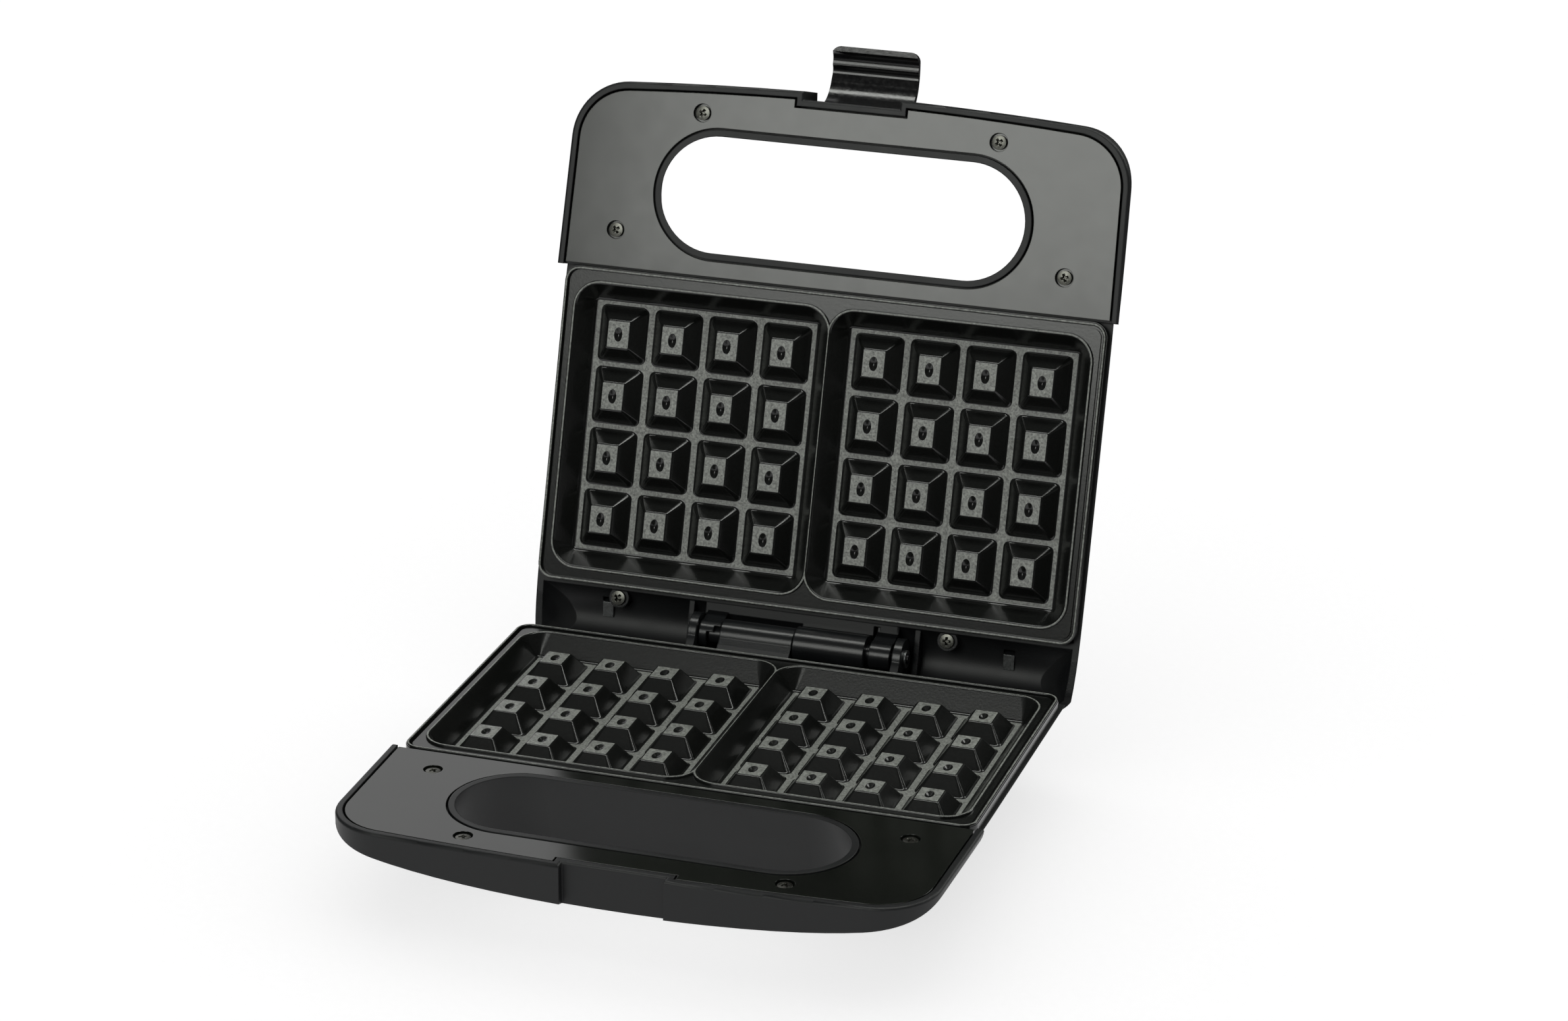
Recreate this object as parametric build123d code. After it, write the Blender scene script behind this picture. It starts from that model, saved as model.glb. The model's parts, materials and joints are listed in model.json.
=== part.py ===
"""Belgian waffle maker for two rectangular waffles, standing open.

All sizes are in millimetres. Each half is drawn the same way up, as a tray whose open side
faces +Z and whose depth goes down to -Z. The plane where the two halves meet when shut is
z = 0, and the hinge axis is the X axis. "Reach" is the distance in front of that axis, so
the handle lies at large reach and at negative Y. The upper half is then turned over and
swung open about the hinge.
"""

from build123d import *
from math import ceil, cos, degrees, radians, sin, sqrt, tan
import os

# Waffle pattern, measured on the plates
columns = 4
rows = 4
column_pitch = 23.0
row_pitch = 25.1
pyramid_base = (19.5, 22.2)
pyramid_top = (9.7, 11.5)
pyramid_height = 6.8
pyramid_base_corner = 2.0
pyramid_top_corner = 0.7
dimple_size = (4.8, 3.2)
dimple_depth = 0.9

# Cooking plates, cast aluminium
cavity_depth = 8.6
cavity_floor_margin = (3.05, 2.75)
cavity_wall_run = 5.9
cavity_corner = 10.0
cavity_floor_corner = 1.2
cavity_divider = 1.0
bead_width = 1.3
bead_height = 0.9
bead_rounding = 0.45
flange_width = (5.7, 6.4)
flange_thickness = 3.0
plate_corner = 6.0
plate_wall = 2.6
overflow_groove_width = 1.0
overflow_groove_depth = 0.8
plate_gap = 0.4
hinge_to_plate = 13.35
post_radius = 4.2
post_height = 8.6
post_row_offset = 21.0

# Housings, moulded plastic
side_margin = 2.4
plate_end_gap = 0.05
handle_step = 1.5
handle_length = 78.5
housing_depth = 36.0
handle_depth_step = 0.5
wall = 2.5
rear_reach = -15.0
rear_corner = 14.0
trough_side_step = 21.0
trough_corner = 8.0
front_crown = 4.6
side_taper = 1.4
front_corner = 24.0
handle_rim_drop = 0.3
rim_rounding = 1.1
base_front_depth = 15.5
lid_front_depth = 18.5
base_rear_depth = 34.0
lid_rear_depth = 22.0
slope_length = 109.5
slope_power = 1.6
rear_fall_reach = 30.0
section_spacing = 24.0
fit_gap = 0.1
divider = 2.5

# Handle opening
opening_side_margin = 41.3
opening_rear_margin = 10.6
opening_front_margin = 21.5
opening_flare = 18.0
opening_rim = 2.7

# Handle panels and their screws
panel_gap = 0.8
panel_rim = 2.7
panel_drop = 0.5
panel_thickness = 2.5
panel_rear_gap = 1.0
rear_screw_margin = (23.4, 15.8)
front_screw_margin = (55.2, 12.7)
screw_head_radius = 2.9
screw_head_height = 1.6
screw_shank_radius = 1.4
screw_length = 9.0
screw_pocket_gap = 0.75
screw_pocket_depth = 1.9
boss_radius = 4.2

# Hinge at the rear
open_angle = 107.2
rest_gap = 0.3
hinge_clearance = 0.6
bulkhead_gap = 1.55
lid_channel_radius = 13.0
pin_radius = 2.0
pin_running_gap = 0.05
pin_overhang = 1.6
knuckle_radius = {"base": 6.5, "lid": 7.3}
ear_radius = 8.0
hook_radius = 5.6
sleeve_radius = 3.7
knuckle_side_gap = 0.6
base_knuckle = (-30.6, -0.5)
lid_knuckle = (0.1, 29.4)
base_ears = ((-43.6, -40.2), (41.6, 45.0))
lid_hooks = ((-39.8, -36.6), (31.2, 39.8))
base_sleeves = ((-36.1, -30.6), (40.3, 41.6))
lid_sleeve = (29.4, 31.2)
hook_steps = ((-36.6, -33.9, 1.2), (-33.9, -31.3, 3.6))
hinge_block = (-48.4, 48.6)
block_face = (-41.0, 39.4)
block_notch = (29.6, 32.2)
block_ribs = ((-48.4, -46.2), (46.4, 48.6))
block_drop = 0.2
block_groove = 1.0
arm_drop = 0.4
arm_fall = 3.0
clip_radius = 3.6
clip_thickness = 0.9

# Latch on the lid's front edge
latch_width = 36.0
latch_side_gap = 1.8
latch_corner = 3.5
latch_setback = 7.5
latch_pivot_depth = 17.5
latch_pin_radius = 1.25
latch_knuckle_radius = 3.0
latch_pin_overlap = 2.6
latch_pocket_length = 12.5
latch_pocket_depth = 11.5
notch_depth = 3.5

# Frame under each plate, heater and heat shield
tray_thickness = 1.0
tray_inset = 0.3
tray_tub_gap = 0.8
heater_radius = 3.2
heater_gap = 0.2
heater_margin = (7.7, 8.0)
heater_bend = 10.0
heater_tail = 12.0
heater_tail_spacing = 10.0
clamp_width = 8.0
clamp_thickness = 0.8
clamp_offset = 45.0
clamp_foot = 6.0
shield_thickness = 0.6
shield_gap = 2.4
shield_end_margin = 20.8
shield_corner = 6.0
shield_lip = 2.0
plate_screw_length = 7.0

# Thermostat, fuse, terminals, cord gland, lamps
thermostat_radius = 9.0
thermostat_height = 7.0
fuse_radius = 2.0
fuse_length = 14.0
terminal_size = (22.0, 11.0, 9.0)
terminal_place = (-56.0, 23.0)
terminal_seat_height = 10.0
gland_height = -27.6
gland_radius = 3.4
gland_flange = 4.8
lamp_spacing = 20.0
lamp_setback = 13.0
lamp_radius = 3.6
lamp_flange = 1.4
lamp_proud = 0.6

# Feet
foot_radius = 8.0
foot_height = 5.0
foot_recess = 1.5
leg_radius = 10.5
leg_drop = 6.0
foot_side_margin = 43.0
rear_foot_reach = 6.0
front_foot_setback = 13.0

# Fixings in the hinge recess of the lid
recess_screws = (-78.4, 59.9)
recess_screw_reach = 8.6
recess_boss_top = -6.0
tab_size = (4.4, 6.2, 0.8)
tab_offset = 84.3
tab_angle = 13.0
tab_slot = 2.2

# Places that follow from the sizes above
floor_half = (
    (columns - 1) * column_pitch / 2 + pyramid_base[0] / 2 + cavity_floor_margin[0],
    (rows - 1) * row_pitch / 2 + pyramid_base[1] / 2 + cavity_floor_margin[1],
)
mouth_half = (floor_half[0] + cavity_wall_run, floor_half[1] + cavity_wall_run)
cavity_middle = cavity_divider / 2 + mouth_half[0]
plate_half = (cavity_middle + mouth_half[0] + flange_width[0], mouth_half[1] + flange_width[1])
plate_reach = hinge_to_plate + plate_half[1]
crest = -plate_gap / 2
flange_top = crest - bead_height
cavity_floor = crest - cavity_depth
tray_top = flange_top - flange_thickness
rim_top = tray_top - tray_thickness
tub_bottom = cavity_floor - plate_wall
post_bottom = tub_bottom - post_height

body_half_width = plate_half[0] + side_margin
handle_half_width = body_half_width + handle_step
trough_half_width = body_half_width - trough_side_step
bulkhead_reach = hinge_to_plate - bulkhead_gap
handle_start = plate_reach + plate_half[1] + plate_end_gap
front_reach = handle_start + handle_length
slope_start_reach = front_reach - slope_length
channel_radius = {"base": sqrt(rear_reach**2 + rim_top**2) + hinge_clearance, "lid": lid_channel_radius}
block_top = rim_top - block_drop
pin_range = (base_ears[0][0] - pin_overhang, base_ears[1][1] + pin_overhang)

panel_top = -panel_drop
panel_seat = panel_top - panel_thickness
opening_size = (
    2 * (handle_half_width - opening_side_margin),
    handle_length - opening_rear_margin - opening_front_margin,
)
opening_reach = handle_start + opening_rear_margin + opening_size[1] / 2
screw_pocket_radius = screw_head_radius + screw_pocket_gap
notch_width = latch_width + 2 * latch_side_gap
latch_reach = front_reach - latch_setback
latch_pocket_reach = front_reach - latch_pocket_length

hollow_share = sqrt(1 - ((post_bottom - shield_thickness) / (housing_depth - wall)) ** 2)
shield_edge = shield_thickness + shield_lip + shield_gap
shield_half_width = (body_half_width - wall) * hollow_share - shield_edge
shield_reach = (
    plate_reach - plate_half[1] + shield_end_margin,
    plate_reach + plate_half[1] - shield_end_margin,
)
heater_half_width = shield_half_width - heater_margin[0]
heater_reach = (shield_reach[0] + heater_margin[1], shield_reach[1] - heater_margin[1])
terminal_seat = terminal_seat_height - housing_depth
floor_height = -housing_depth - leg_drop
lamp_reach = handle_start - lamp_setback


def at(x, reach, z=0.0):
    """A place given by its distance in front of the hinge axis."""
    return Pos(x, -reach, z)


def prism(face, low, high):
    """A flat outline made solid between two heights."""
    return extrude(Pos(0, 0, low) * face, amount=high - low)


def block(x_range, reach_range, z_range):
    """A rectangular block between given limits."""
    size = [x_range[1] - x_range[0], reach_range[1] - reach_range[0], z_range[1] - z_range[0]]
    middle = at(sum(x_range) / 2, sum(reach_range) / 2, sum(z_range) / 2)
    return middle * Box(*size)


def rod(radius, x_range, reach=0.0, z=0.0):
    """A round bar along X."""
    length = x_range[1] - x_range[0]
    return at(sum(x_range) / 2, reach, z) * Rot(0, 90, 0) * Cylinder(radius, length)


def side_profile(face_points, x_range):
    """A polygon of (reach, z) points made solid along X."""
    outline = make_face(Polyline([(reach, z) for reach, z in face_points], close=True))
    return along_x(outline, x_range)


def along_x(outline, x_range):
    """A flat outline in (reach, z) coordinates made solid along X."""
    side = Plane(origin=(x_range[0], 0, 0), x_dir=(0, -1, 0), z_dir=(-1, 0, 0))
    return extrude(side * outline, amount=-(x_range[1] - x_range[0]))


def depth_at(reach, front_depth, rear_depth):
    """Depth of a housing along its middle: deep under the plates, shallow at the handle."""
    if reach > slope_start_reach:
        share = (reach - slope_start_reach) / (front_reach - slope_start_reach)
        return housing_depth - (housing_depth - front_depth) * share**slope_power
    if reach < rear_fall_reach:
        share = (rear_fall_reach - reach) / (rear_fall_reach - rear_reach)
        return housing_depth - (housing_depth - rear_depth) * share**2
    return housing_depth


def hull(half_width, deeper, reach_range, depths):
    """A housing's rounded form: half ellipses lofted from the rear to the front."""
    count = max(3, ceil((reach_range[1] - reach_range[0]) / section_spacing) + 1)
    sections = []
    for index in range(count):
        reach = reach_range[0] + (reach_range[1] - reach_range[0]) * index / (count - 1)
        depth = depth_at(reach, *depths) + deeper
        plane = Plane(origin=(0, -reach, 0), x_dir=(1, 0, 0), z_dir=(0, -1, 0))
        curve = EllipticalCenterArc((0, 0), half_width, depth, start_angle=180, arc_size=180)
        sections.append(plane * make_face([curve, Line(curve @ 1, curve @ 0)]))
    return loft(sections)


def handle_outline(inset=0.0, rear=handle_start):
    """The handle in plan: crowned front, rounded corners and a notch for the latch."""
    side = handle_half_width - inset
    front = front_reach - inset
    corner_reach = front - front_crown
    front_side = side - side_taper
    edges = [
        Line((-side, -rear), (-front_side, -corner_reach)),
        ThreePointArc((-front_side, -corner_reach), (0, -front), (front_side, -corner_reach)),
        Line((front_side, -corner_reach), (side, -rear)),
        Line((side, -rear), (-side, -rear)),
    ]
    face = make_face(edges)
    corners = face.vertices().sort_by(Axis.Y)[:2]
    face = fillet(corners, front_corner - inset)
    width = notch_width + 2 * inset
    return face - at(0, front) * Rectangle(width, 2 * notch_depth)


def body_outline(half, inset=0.0):
    """The part of a housing round the plate in plan; the base narrows under the lid's edge."""
    rear = rear_reach + inset
    width = body_half_width - inset
    start = rear if half == "lid" else bulkhead_reach + inset
    face = at(0, (start + handle_start) / 2) * Rectangle(2 * width, handle_start - start)
    if half == "lid":
        return fillet(face.vertices().sort_by(Axis.Y)[2:], rear_corner - inset)
    length = handle_start - rear
    trough = at(0, rear + length / 2) * Rectangle(2 * (trough_half_width - inset), length)
    return face + fillet(trough.vertices().sort_by(Axis.Y)[2:], trough_corner - inset)


def opening_outline(grow=0.0):
    """The rounded hand opening in plan."""
    length = opening_size[0] + 2 * grow
    width = opening_size[1] + 2 * grow
    return at(0, opening_reach) * SlotOverall(length, width)


def flared_opening(grow=0.0):
    """The hand opening as a solid that widens away from the panel."""
    low = -housing_depth - 4 * wall
    spread = -low * tan(radians(opening_flare))
    wide = Pos(0, 0, low) * opening_outline(grow + spread)
    straight = prism(opening_outline(grow), 0, wall)
    return loft([opening_outline(grow), wide]) + straight


def hinge_channel(half, grow=0.0):
    """The space that the other half's rear edge swings through, grown by a wall."""
    front = bulkhead_reach + grow
    radius = channel_radius[half] + grow
    corner = sqrt(radius**2 - front**2)
    tall = housing_depth
    width = (-body_half_width - wall, body_half_width + wall)
    shape = rod(radius, width) & block(width, (-radius - wall, front), (-radius - wall, tall))
    shape += block(width, (0, front), (-corner, tall))
    if half == "base":
        shape += stop_space(width, grow)
    return shape


def stop_space(width, grow):
    """The space behind the base's sloping rear land, on which the open lid rests."""
    angle = radians(open_angle)
    away = rear_reach - rest_gap - grow
    near = (away * cos(angle), away * sin(angle))
    far = 4 * housing_depth
    end = (near[0] - far * sin(angle), near[1] + far * cos(angle))
    points = [near, end, (end[0], far), (near[0], far)]
    return side_profile(points, width)


def panel_screw_places():
    """The four panel screws of one half."""
    side, rear = rear_screw_margin
    front_side, front = front_screw_margin
    places = [
        (handle_half_width - side, handle_start + rear),
        (handle_half_width - front_side, front_reach - front),
    ]
    return [(sign * x, reach) for x, reach in places for sign in (-1, 1)]


def panel_bosses():
    """Pillars under a panel that its screws go into."""
    bosses = [
        at(x, reach) * Pos(0, 0, panel_seat - housing_depth / 2) * Cylinder(boss_radius, housing_depth)
        for x, reach in panel_screw_places()
    ]
    return Part() + bosses


def panel_screw_holes():
    """Holes for the panel screws."""
    depth = screw_length + 1
    holes = [
        at(x, reach, panel_seat - depth / 2) * Cylinder(screw_shank_radius + fit_gap, depth)
        for x, reach in panel_screw_places()
    ]
    return Part() + holes


def housing_outer(depths, half):
    """The outside of one housing as a solid, before it is hollowed."""
    body = hull(body_half_width, 0, (rear_reach - 3, handle_start), depths)
    body &= prism(body_outline(half), -2 * housing_depth, rim_top)
    handle = hull(handle_half_width, handle_depth_step, (handle_start, front_reach + 3), depths)
    handle &= prism(handle_outline(), -2 * housing_depth, -handle_rim_drop)
    top = handle.edges().filter_by_position(Axis.Z, -handle_rim_drop - 0.01, -handle_rim_drop + 0.01)
    rim = [edge for edge in top if edge.center().Y < -handle_start - 0.5]
    return body + fillet(rim, rim_rounding)


def body_hollow(depths, half):
    """The inside of one housing round the plate, a wall within its outside."""
    body = hull(body_half_width - wall, -wall, (rear_reach - 3, handle_start), depths)
    return body & prism(body_outline(half, wall), -2 * housing_depth, 1)


def housing_void(depths, half):
    """The hollow of one housing, with its bosses, divider and hinge bulkhead left standing."""
    body = body_hollow(depths, half)
    deeper = handle_depth_step - wall
    handle = hull(handle_half_width - wall, deeper, (handle_start, front_reach + 3), depths)
    handle &= prism(handle_outline(panel_rim), -2 * housing_depth, 1)
    void = body + handle
    void -= hinge_channel(half, wall)
    void -= flared_opening(opening_rim) & slab(-2 * housing_depth, panel_seat)
    void -= prism(opening_outline(opening_rim), panel_seat, 1)
    void -= panel_bosses()
    width = (-body_half_width, body_half_width)
    ledge = (handle_start - divider, handle_start + divider)
    void -= block(width, ledge, (-2 * housing_depth, rim_top))
    void -= block(width, (handle_start, ledge[1]), (-2 * housing_depth, panel_seat))
    return void


def hinge_arm(radius, x_range, half, top):
    """A knuckle round the hinge pin, with its arm to the bulkhead under the given top edge."""
    far = bulkhead_reach + wall
    shape = [(0, 0), (radius * 0.2, -radius * 0.97), (far, -radius - arm_fall), *top]
    arm = side_profile(shape, x_range) & hinge_channel(half, wall / 2)
    return rod(radius, x_range) + arm


def base_hinge():
    """The base's knuckle with its neck, and the two round ears that hold the pin's ends."""
    far = bulkhead_reach + wall

    def arm(radius, x_range):
        top = [(far, rim_top - arm_drop), (radius * 0.97, radius * 0.2)]
        return hinge_arm(radius, x_range, "base", top)

    solid = arm(knuckle_radius["base"], base_knuckle)
    for ear in base_ears:
        solid += arm(ear_radius, ear)
    for sleeve in base_sleeves:
        solid += rod(sleeve_radius, sleeve)
    return solid


def lid_hinge():
    """The lid's hinge block with its knuckle and the two hooks over the pin."""
    far = bulkhead_reach + wall
    groove = block_top - block_groove
    knuckle_top = [(far, groove), (knuckle_radius["lid"] * 0.3, groove)]
    solid = hinge_block_solid()
    solid += hinge_arm(knuckle_radius["lid"], lid_knuckle, "lid", knuckle_top)
    solid += rod(sleeve_radius, lid_sleeve)
    for x_range in lid_hooks:
        solid += hook(x_range)
    for start, end, reach in hook_steps:
        step = hook((start, end)) - rod(sleeve_radius + knuckle_side_gap, (start, end))
        solid += step - block((start, end), (-ear_radius, reach), (-2 * ear_radius, ear_radius))
    return solid


def hook(x_range):
    """A hook over the pin, from the face of the hinge block."""
    face_edge = ear_radius + knuckle_side_gap
    top = [(bulkhead_reach + wall, block_top - block_groove), (face_edge, block_top), (hook_radius, 0)]
    return hinge_arm(hook_radius, x_range, "lid", top)


def pin_bore():
    """The running hole for the hinge pin."""
    return rod(pin_radius + pin_running_gap, (pin_range[0] - 1, pin_range[1] + 1))


def base_shell():
    """Lower housing with legs, terminal seat, hinge knuckle and the two round ears."""
    depths = (base_front_depth, base_rear_depth)
    shell = housing_outer(depths, "base")
    for x, reach in foot_places():
        shell += at(x, reach, (floor_height + foot_height + post_bottom) / 2) * Cylinder(
            leg_radius, post_bottom - floor_height - foot_height
        )
    void = housing_void(depths, "base")
    seat = terminal_size[0] + 2, terminal_size[1] + 2
    x, reach = terminal_place
    void -= block(
        (x - seat[0] / 2, x + seat[0] / 2),
        (reach - seat[1] / 2, reach + seat[1] / 2),
        (-housing_depth, terminal_seat),
    )
    shell -= void
    shell -= flared_opening()
    shell -= hinge_channel("base")
    shell -= panel_screw_holes()
    shell += base_hinge()
    shell -= pin_bore()
    for x, reach in foot_places():
        socket = floor_height + foot_height - foot_recess
        shell -= at(x, reach, socket) * Cylinder(foot_radius + fit_gap, 2 * (foot_recess + foot_recess))
    shell -= Pos(0, -rear_reach, gland_height) * Rot(90, 0, 0) * Cylinder(gland_radius + fit_gap, 4 * wall)
    return shell


def foot_places():
    """The four feet."""
    side = body_half_width - foot_side_margin
    reaches = (rear_foot_reach, handle_start - front_foot_setback)
    return [(sign * side, reach) for reach in reaches for sign in (-1, 1)]


def lid_shell():
    """Upper housing, drawn like the base, with hinge block, knuckle, hooks and latch pocket."""
    depths = (lid_front_depth, lid_rear_depth)
    shell = housing_outer(depths, "lid")
    void = housing_void(depths, "lid")
    side = notch_width / 2
    beyond = front_reach + 2 * notch_depth
    low = -2 * housing_depth
    void -= block(
        (-side - wall - latch_pin_overlap, side + wall + latch_pin_overlap),
        (latch_pocket_reach - wall, beyond),
        (low, -latch_pocket_depth + wall),
    )
    shell -= void
    shell -= flared_opening()
    shell -= hinge_channel("lid") & body_hollow(depths, "lid")
    shell -= panel_screw_holes()
    shell -= tab_slots()
    shell += lid_hinge()
    shell += recess_bosses()
    shell -= pin_bore()
    shell -= recess_screw_holes()
    shell -= block((-side, side), (latch_pocket_reach, beyond), (low, -latch_pocket_depth))
    shell -= rod(latch_pin_radius + fit_gap, latch_pin_range(), *latch_axis())
    for x, reach in lamp_places():
        shell -= at(x, reach, -housing_depth) * Cylinder(lamp_radius + fit_gap, 4 * wall)
    return shell


def latch_axis():
    """Reach and height of the latch pin in the drawing position."""
    return latch_reach, -latch_pivot_depth


def latch_pin_range():
    """How far the latch pin runs along X."""
    end = notch_width / 2 + latch_pin_overlap
    return -end, end


def hinge_block_solid():
    """The raised middle of the lid's hinge recess, hollowed round the knuckles, and its ribs."""
    reach = bulkhead_reach + wall / 2
    low = -lid_channel_radius - wall
    bar = block(block_face, (ear_radius / 2, reach), (low, block_top))
    pocket = ear_radius + knuckle_side_gap
    bar -= rod(pocket, block_face)
    slot = (base_knuckle[0] - knuckle_side_gap, base_knuckle[1] + knuckle_side_gap)
    bar -= rod(pocket + block_groove, slot)
    bar -= block(block_notch, (0, pocket + 2 * block_groove), (low, block_top + 1))
    for rib in block_ribs:
        bar += block(rib, (-ear_radius, reach), (low, block_top - block_groove))
    return bar & rod(lid_channel_radius + wall / 2, hinge_block)


def recess_bosses():
    """Round bosses for the two screws in the lid's hinge recess."""
    depth = lid_channel_radius - wall / 2 + recess_boss_top
    bosses = [
        at(x, recess_screw_reach, recess_boss_top - depth / 2) * Cylinder(boss_radius, depth)
        for x in recess_screws
    ]
    return Part() + bosses


def recess_screw_holes():
    """Holes for the two screws in the lid's hinge recess."""
    depth = screw_length + 1
    holes = [
        at(x, recess_screw_reach, recess_boss_top - depth / 2)
        * Cylinder(screw_shank_radius + fit_gap, depth)
        for x in recess_screws
    ]
    return Part() + holes


def handle_panel():
    """The glossy plate that closes a handle, with its opening and screw pockets."""
    inset = panel_rim + panel_gap
    face = handle_outline(inset, handle_start + panel_rear_gap)
    panel = prism(face - opening_outline(opening_rim + panel_gap), panel_seat, panel_top)
    for x, reach in panel_screw_places():
        pocket = 2 * screw_pocket_depth
        panel -= at(x, reach, panel_top) * Cylinder(screw_pocket_radius, pocket)
        panel -= at(x, reach, panel_seat) * Cylinder(screw_shank_radius + fit_gap, pocket)
    return panel


def screw(x, reach, seat, length, turn=1):
    """A pan head screw whose head stands on a seat; turn -1 puts the head below it."""
    head = at(x, reach, seat + turn * screw_head_height / 2)
    shank = at(x, reach, seat - turn * length / 2)
    body = head * Cylinder(screw_head_radius, screw_head_height)
    return body + shank * Cylinder(screw_shank_radius, length)


def panel_screw_set():
    """The four screws of one handle panel."""
    seat = panel_top - screw_pocket_depth
    return [screw(x, reach, seat, screw_length) for x, reach in panel_screw_places()]


def rounded_block(half, corner, z):
    """A rounded rectangle at one height, for lofts."""
    return Pos(0, 0, z) * RectangleRounded(2 * half[0], 2 * half[1], corner)


def cavity(grow, low):
    """One waffle cavity: sloping walls from its rounded mouth to its floor."""
    slope = cavity_wall_run / cavity_depth
    over = 1.0
    mouth = [side + grow + slope * over for side in mouth_half]
    floor = [side + grow + slope * (low - cavity_floor) for side in floor_half]
    top = rounded_block(mouth, cavity_corner + grow, crest + over)
    return loft([rounded_block(floor, cavity_floor_corner + grow, low), top])


def pyramid():
    """One blunt pyramid with the small oval dimple in its top."""
    low = rounded_block([side / 2 for side in pyramid_base], pyramid_base_corner, 0)
    high = rounded_block([side / 2 for side in pyramid_top], pyramid_top_corner, pyramid_height)
    dimple = Pos(0, 0, pyramid_height) * Rot(0, 0, 90) * SlotOverall(*dimple_size)
    return loft([low, high]) - extrude(dimple, amount=-dimple_depth)


def pyramid_places():
    """Pyramid centres inside one cavity, from the cavity's middle."""
    across = [(index - (columns - 1) / 2) * column_pitch for index in range(columns)]
    along = [(index - (rows - 1) / 2) * row_pitch for index in range(rows)]
    return [(x, y) for x in across for y in along]


def cavity_places():
    """The middles of the two cavities."""
    return [at(side * cavity_middle, plate_reach) for side in (-1, 1)]


def bead(half, corner):
    """A raised bead that follows a rounded rectangle."""
    outer = [side + bead_width for side in half]
    ring = rounded_block(outer, corner + bead_width, 0) - rounded_block(half, corner, 0)
    solid = prism(ring, flange_top - overflow_groove_depth, crest)
    return fillet(solid.edges().group_by(Axis.Z)[-1], bead_rounding)


def plate():
    """One cooking plate: flange, beads, two cavities with their pyramids, and posts."""
    middle = at(0, plate_reach)
    outline = RectangleRounded(2 * plate_half[0], 2 * plate_half[1], plate_corner)
    solid = middle * prism(outline, tray_top, flange_top)
    edge = [side - bead_width - 0.2 for side in plate_half]
    solid += middle * bead(edge, plate_corner - bead_width)
    for place in cavity_places():
        solid += place * (cavity(plate_wall, tub_bottom) & slab(tub_bottom, flange_top))
        solid += place * bead(mouth_half, cavity_corner)
    groove_half = [side - overflow_groove_width for side in edge]
    groove_corner = plate_corner - bead_width - overflow_groove_width
    groove = rounded_block(edge, plate_corner - bead_width, 0) - rounded_block(
        groove_half, groove_corner, 0
    )
    solid -= middle * prism(groove, flange_top - overflow_groove_depth, flange_top)
    hollow = cavity(0, cavity_floor)
    hump = pyramid()
    hollow -= [Pos(x, y, cavity_floor) * hump for x, y in pyramid_places()]
    solid -= [place * hollow for place in cavity_places()]
    for x, reach in post_places():
        post = at(x, reach, (tub_bottom + post_bottom) / 2) * Cylinder(post_radius, post_height)
        solid += post
        depth = plate_screw_length + 1
        solid -= at(x, reach, post_bottom + depth / 2) * Cylinder(screw_shank_radius + fit_gap, depth)
    return solid


def slab(low, high):
    """A wide slab, used to trim other forms to a height."""
    size = 4 * body_half_width
    return Pos(0, 0, (low + high) / 2) * Box(size, size, high - low)


def post_places():
    """The four posts under a plate."""
    return [
        (side * cavity_middle, plate_reach + end * post_row_offset)
        for side in (-1, 1)
        for end in (-1, 1)
    ]


def plate_frame():
    """The pressed frame between a plate and its housing."""
    half = [side - tray_inset for side in plate_half]
    ring = at(0, plate_reach) * prism(
        RectangleRounded(2 * half[0], 2 * half[1], plate_corner - tray_inset), rim_top, tray_top
    )
    for place in cavity_places():
        ring -= place * cavity(plate_wall + tray_tub_gap, tub_bottom)
    return ring


def heater():
    """The tubular heating element, a loop with its two tails to the rear."""
    z = tub_bottom - heater_gap - heater_radius
    near, far = heater_reach
    tail = heater_tail_spacing
    points = [
        (-tail, -(near - heater_tail), z),
        (-tail, -near, z),
        (-heater_half_width, -near, z),
        (-heater_half_width, -far, z),
        (heater_half_width, -far, z),
        (heater_half_width, -near, z),
        (tail, -near, z),
        (tail, -(near - heater_tail), z),
    ]
    path = FilletPolyline(*points, radius=heater_bend)
    start = Plane(origin=path @ 0, z_dir=path % 0)
    return sweep(start * Circle(heater_radius), path=path)


def heater_clamp(x, reach):
    """One saddle clamp that holds the heater against the plate."""
    inner = heater_radius + fit_gap
    outer = inner + clamp_thickness
    top = heater_gap + heater_radius
    below = Pos(0, -outer) * Rectangle(2 * outer, 2 * outer)
    saddle = Circle(outer) & below
    saddle += Pos(0, top / 2) * Rectangle(2 * outer, top)
    feet = 2 * (outer + clamp_foot)
    saddle += Pos(0, top - clamp_thickness / 2) * Rectangle(feet, clamp_thickness)
    saddle -= Circle(inner)
    saddle -= Pos(0, top) * Rectangle(2 * inner, 2 * top)
    place = Pos(reach, tub_bottom - top)
    return along_x(place * saddle, (x - clamp_width / 2, x + clamp_width / 2))


def heater_clamps():
    """The four clamps of one heater."""
    return [heater_clamp(side * clamp_offset, reach) for side in (-1, 1) for reach in heater_reach]


def heat_shield():
    """The bright pan under a heater, held by the plate screws."""
    near, far = shield_reach
    middle = at(0, (near + far) / 2)
    half = (shield_half_width, (far - near) / 2)
    top = post_bottom - shield_thickness + shield_lip
    low = post_bottom - shield_thickness

    def pan(grow, bottom):
        wide = [side + grow + shield_lip for side in half]
        flat = [side + grow for side in half]
        lower = rounded_block(flat, shield_corner, bottom)
        return loft([lower, rounded_block(wide, shield_corner, top)])

    shield = middle * (pan(shield_thickness, low) - pan(0, post_bottom))
    for x, reach in post_places():
        shield -= at(x, reach, post_bottom) * Cylinder(screw_shank_radius + fit_gap, wall)
    return shield


def plate_screw_set():
    """The four screws that hold a heat shield to the plate's posts."""
    seat = post_bottom - shield_thickness
    return [screw(x, reach, seat, plate_screw_length, -1) for x, reach in post_places()]


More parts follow.
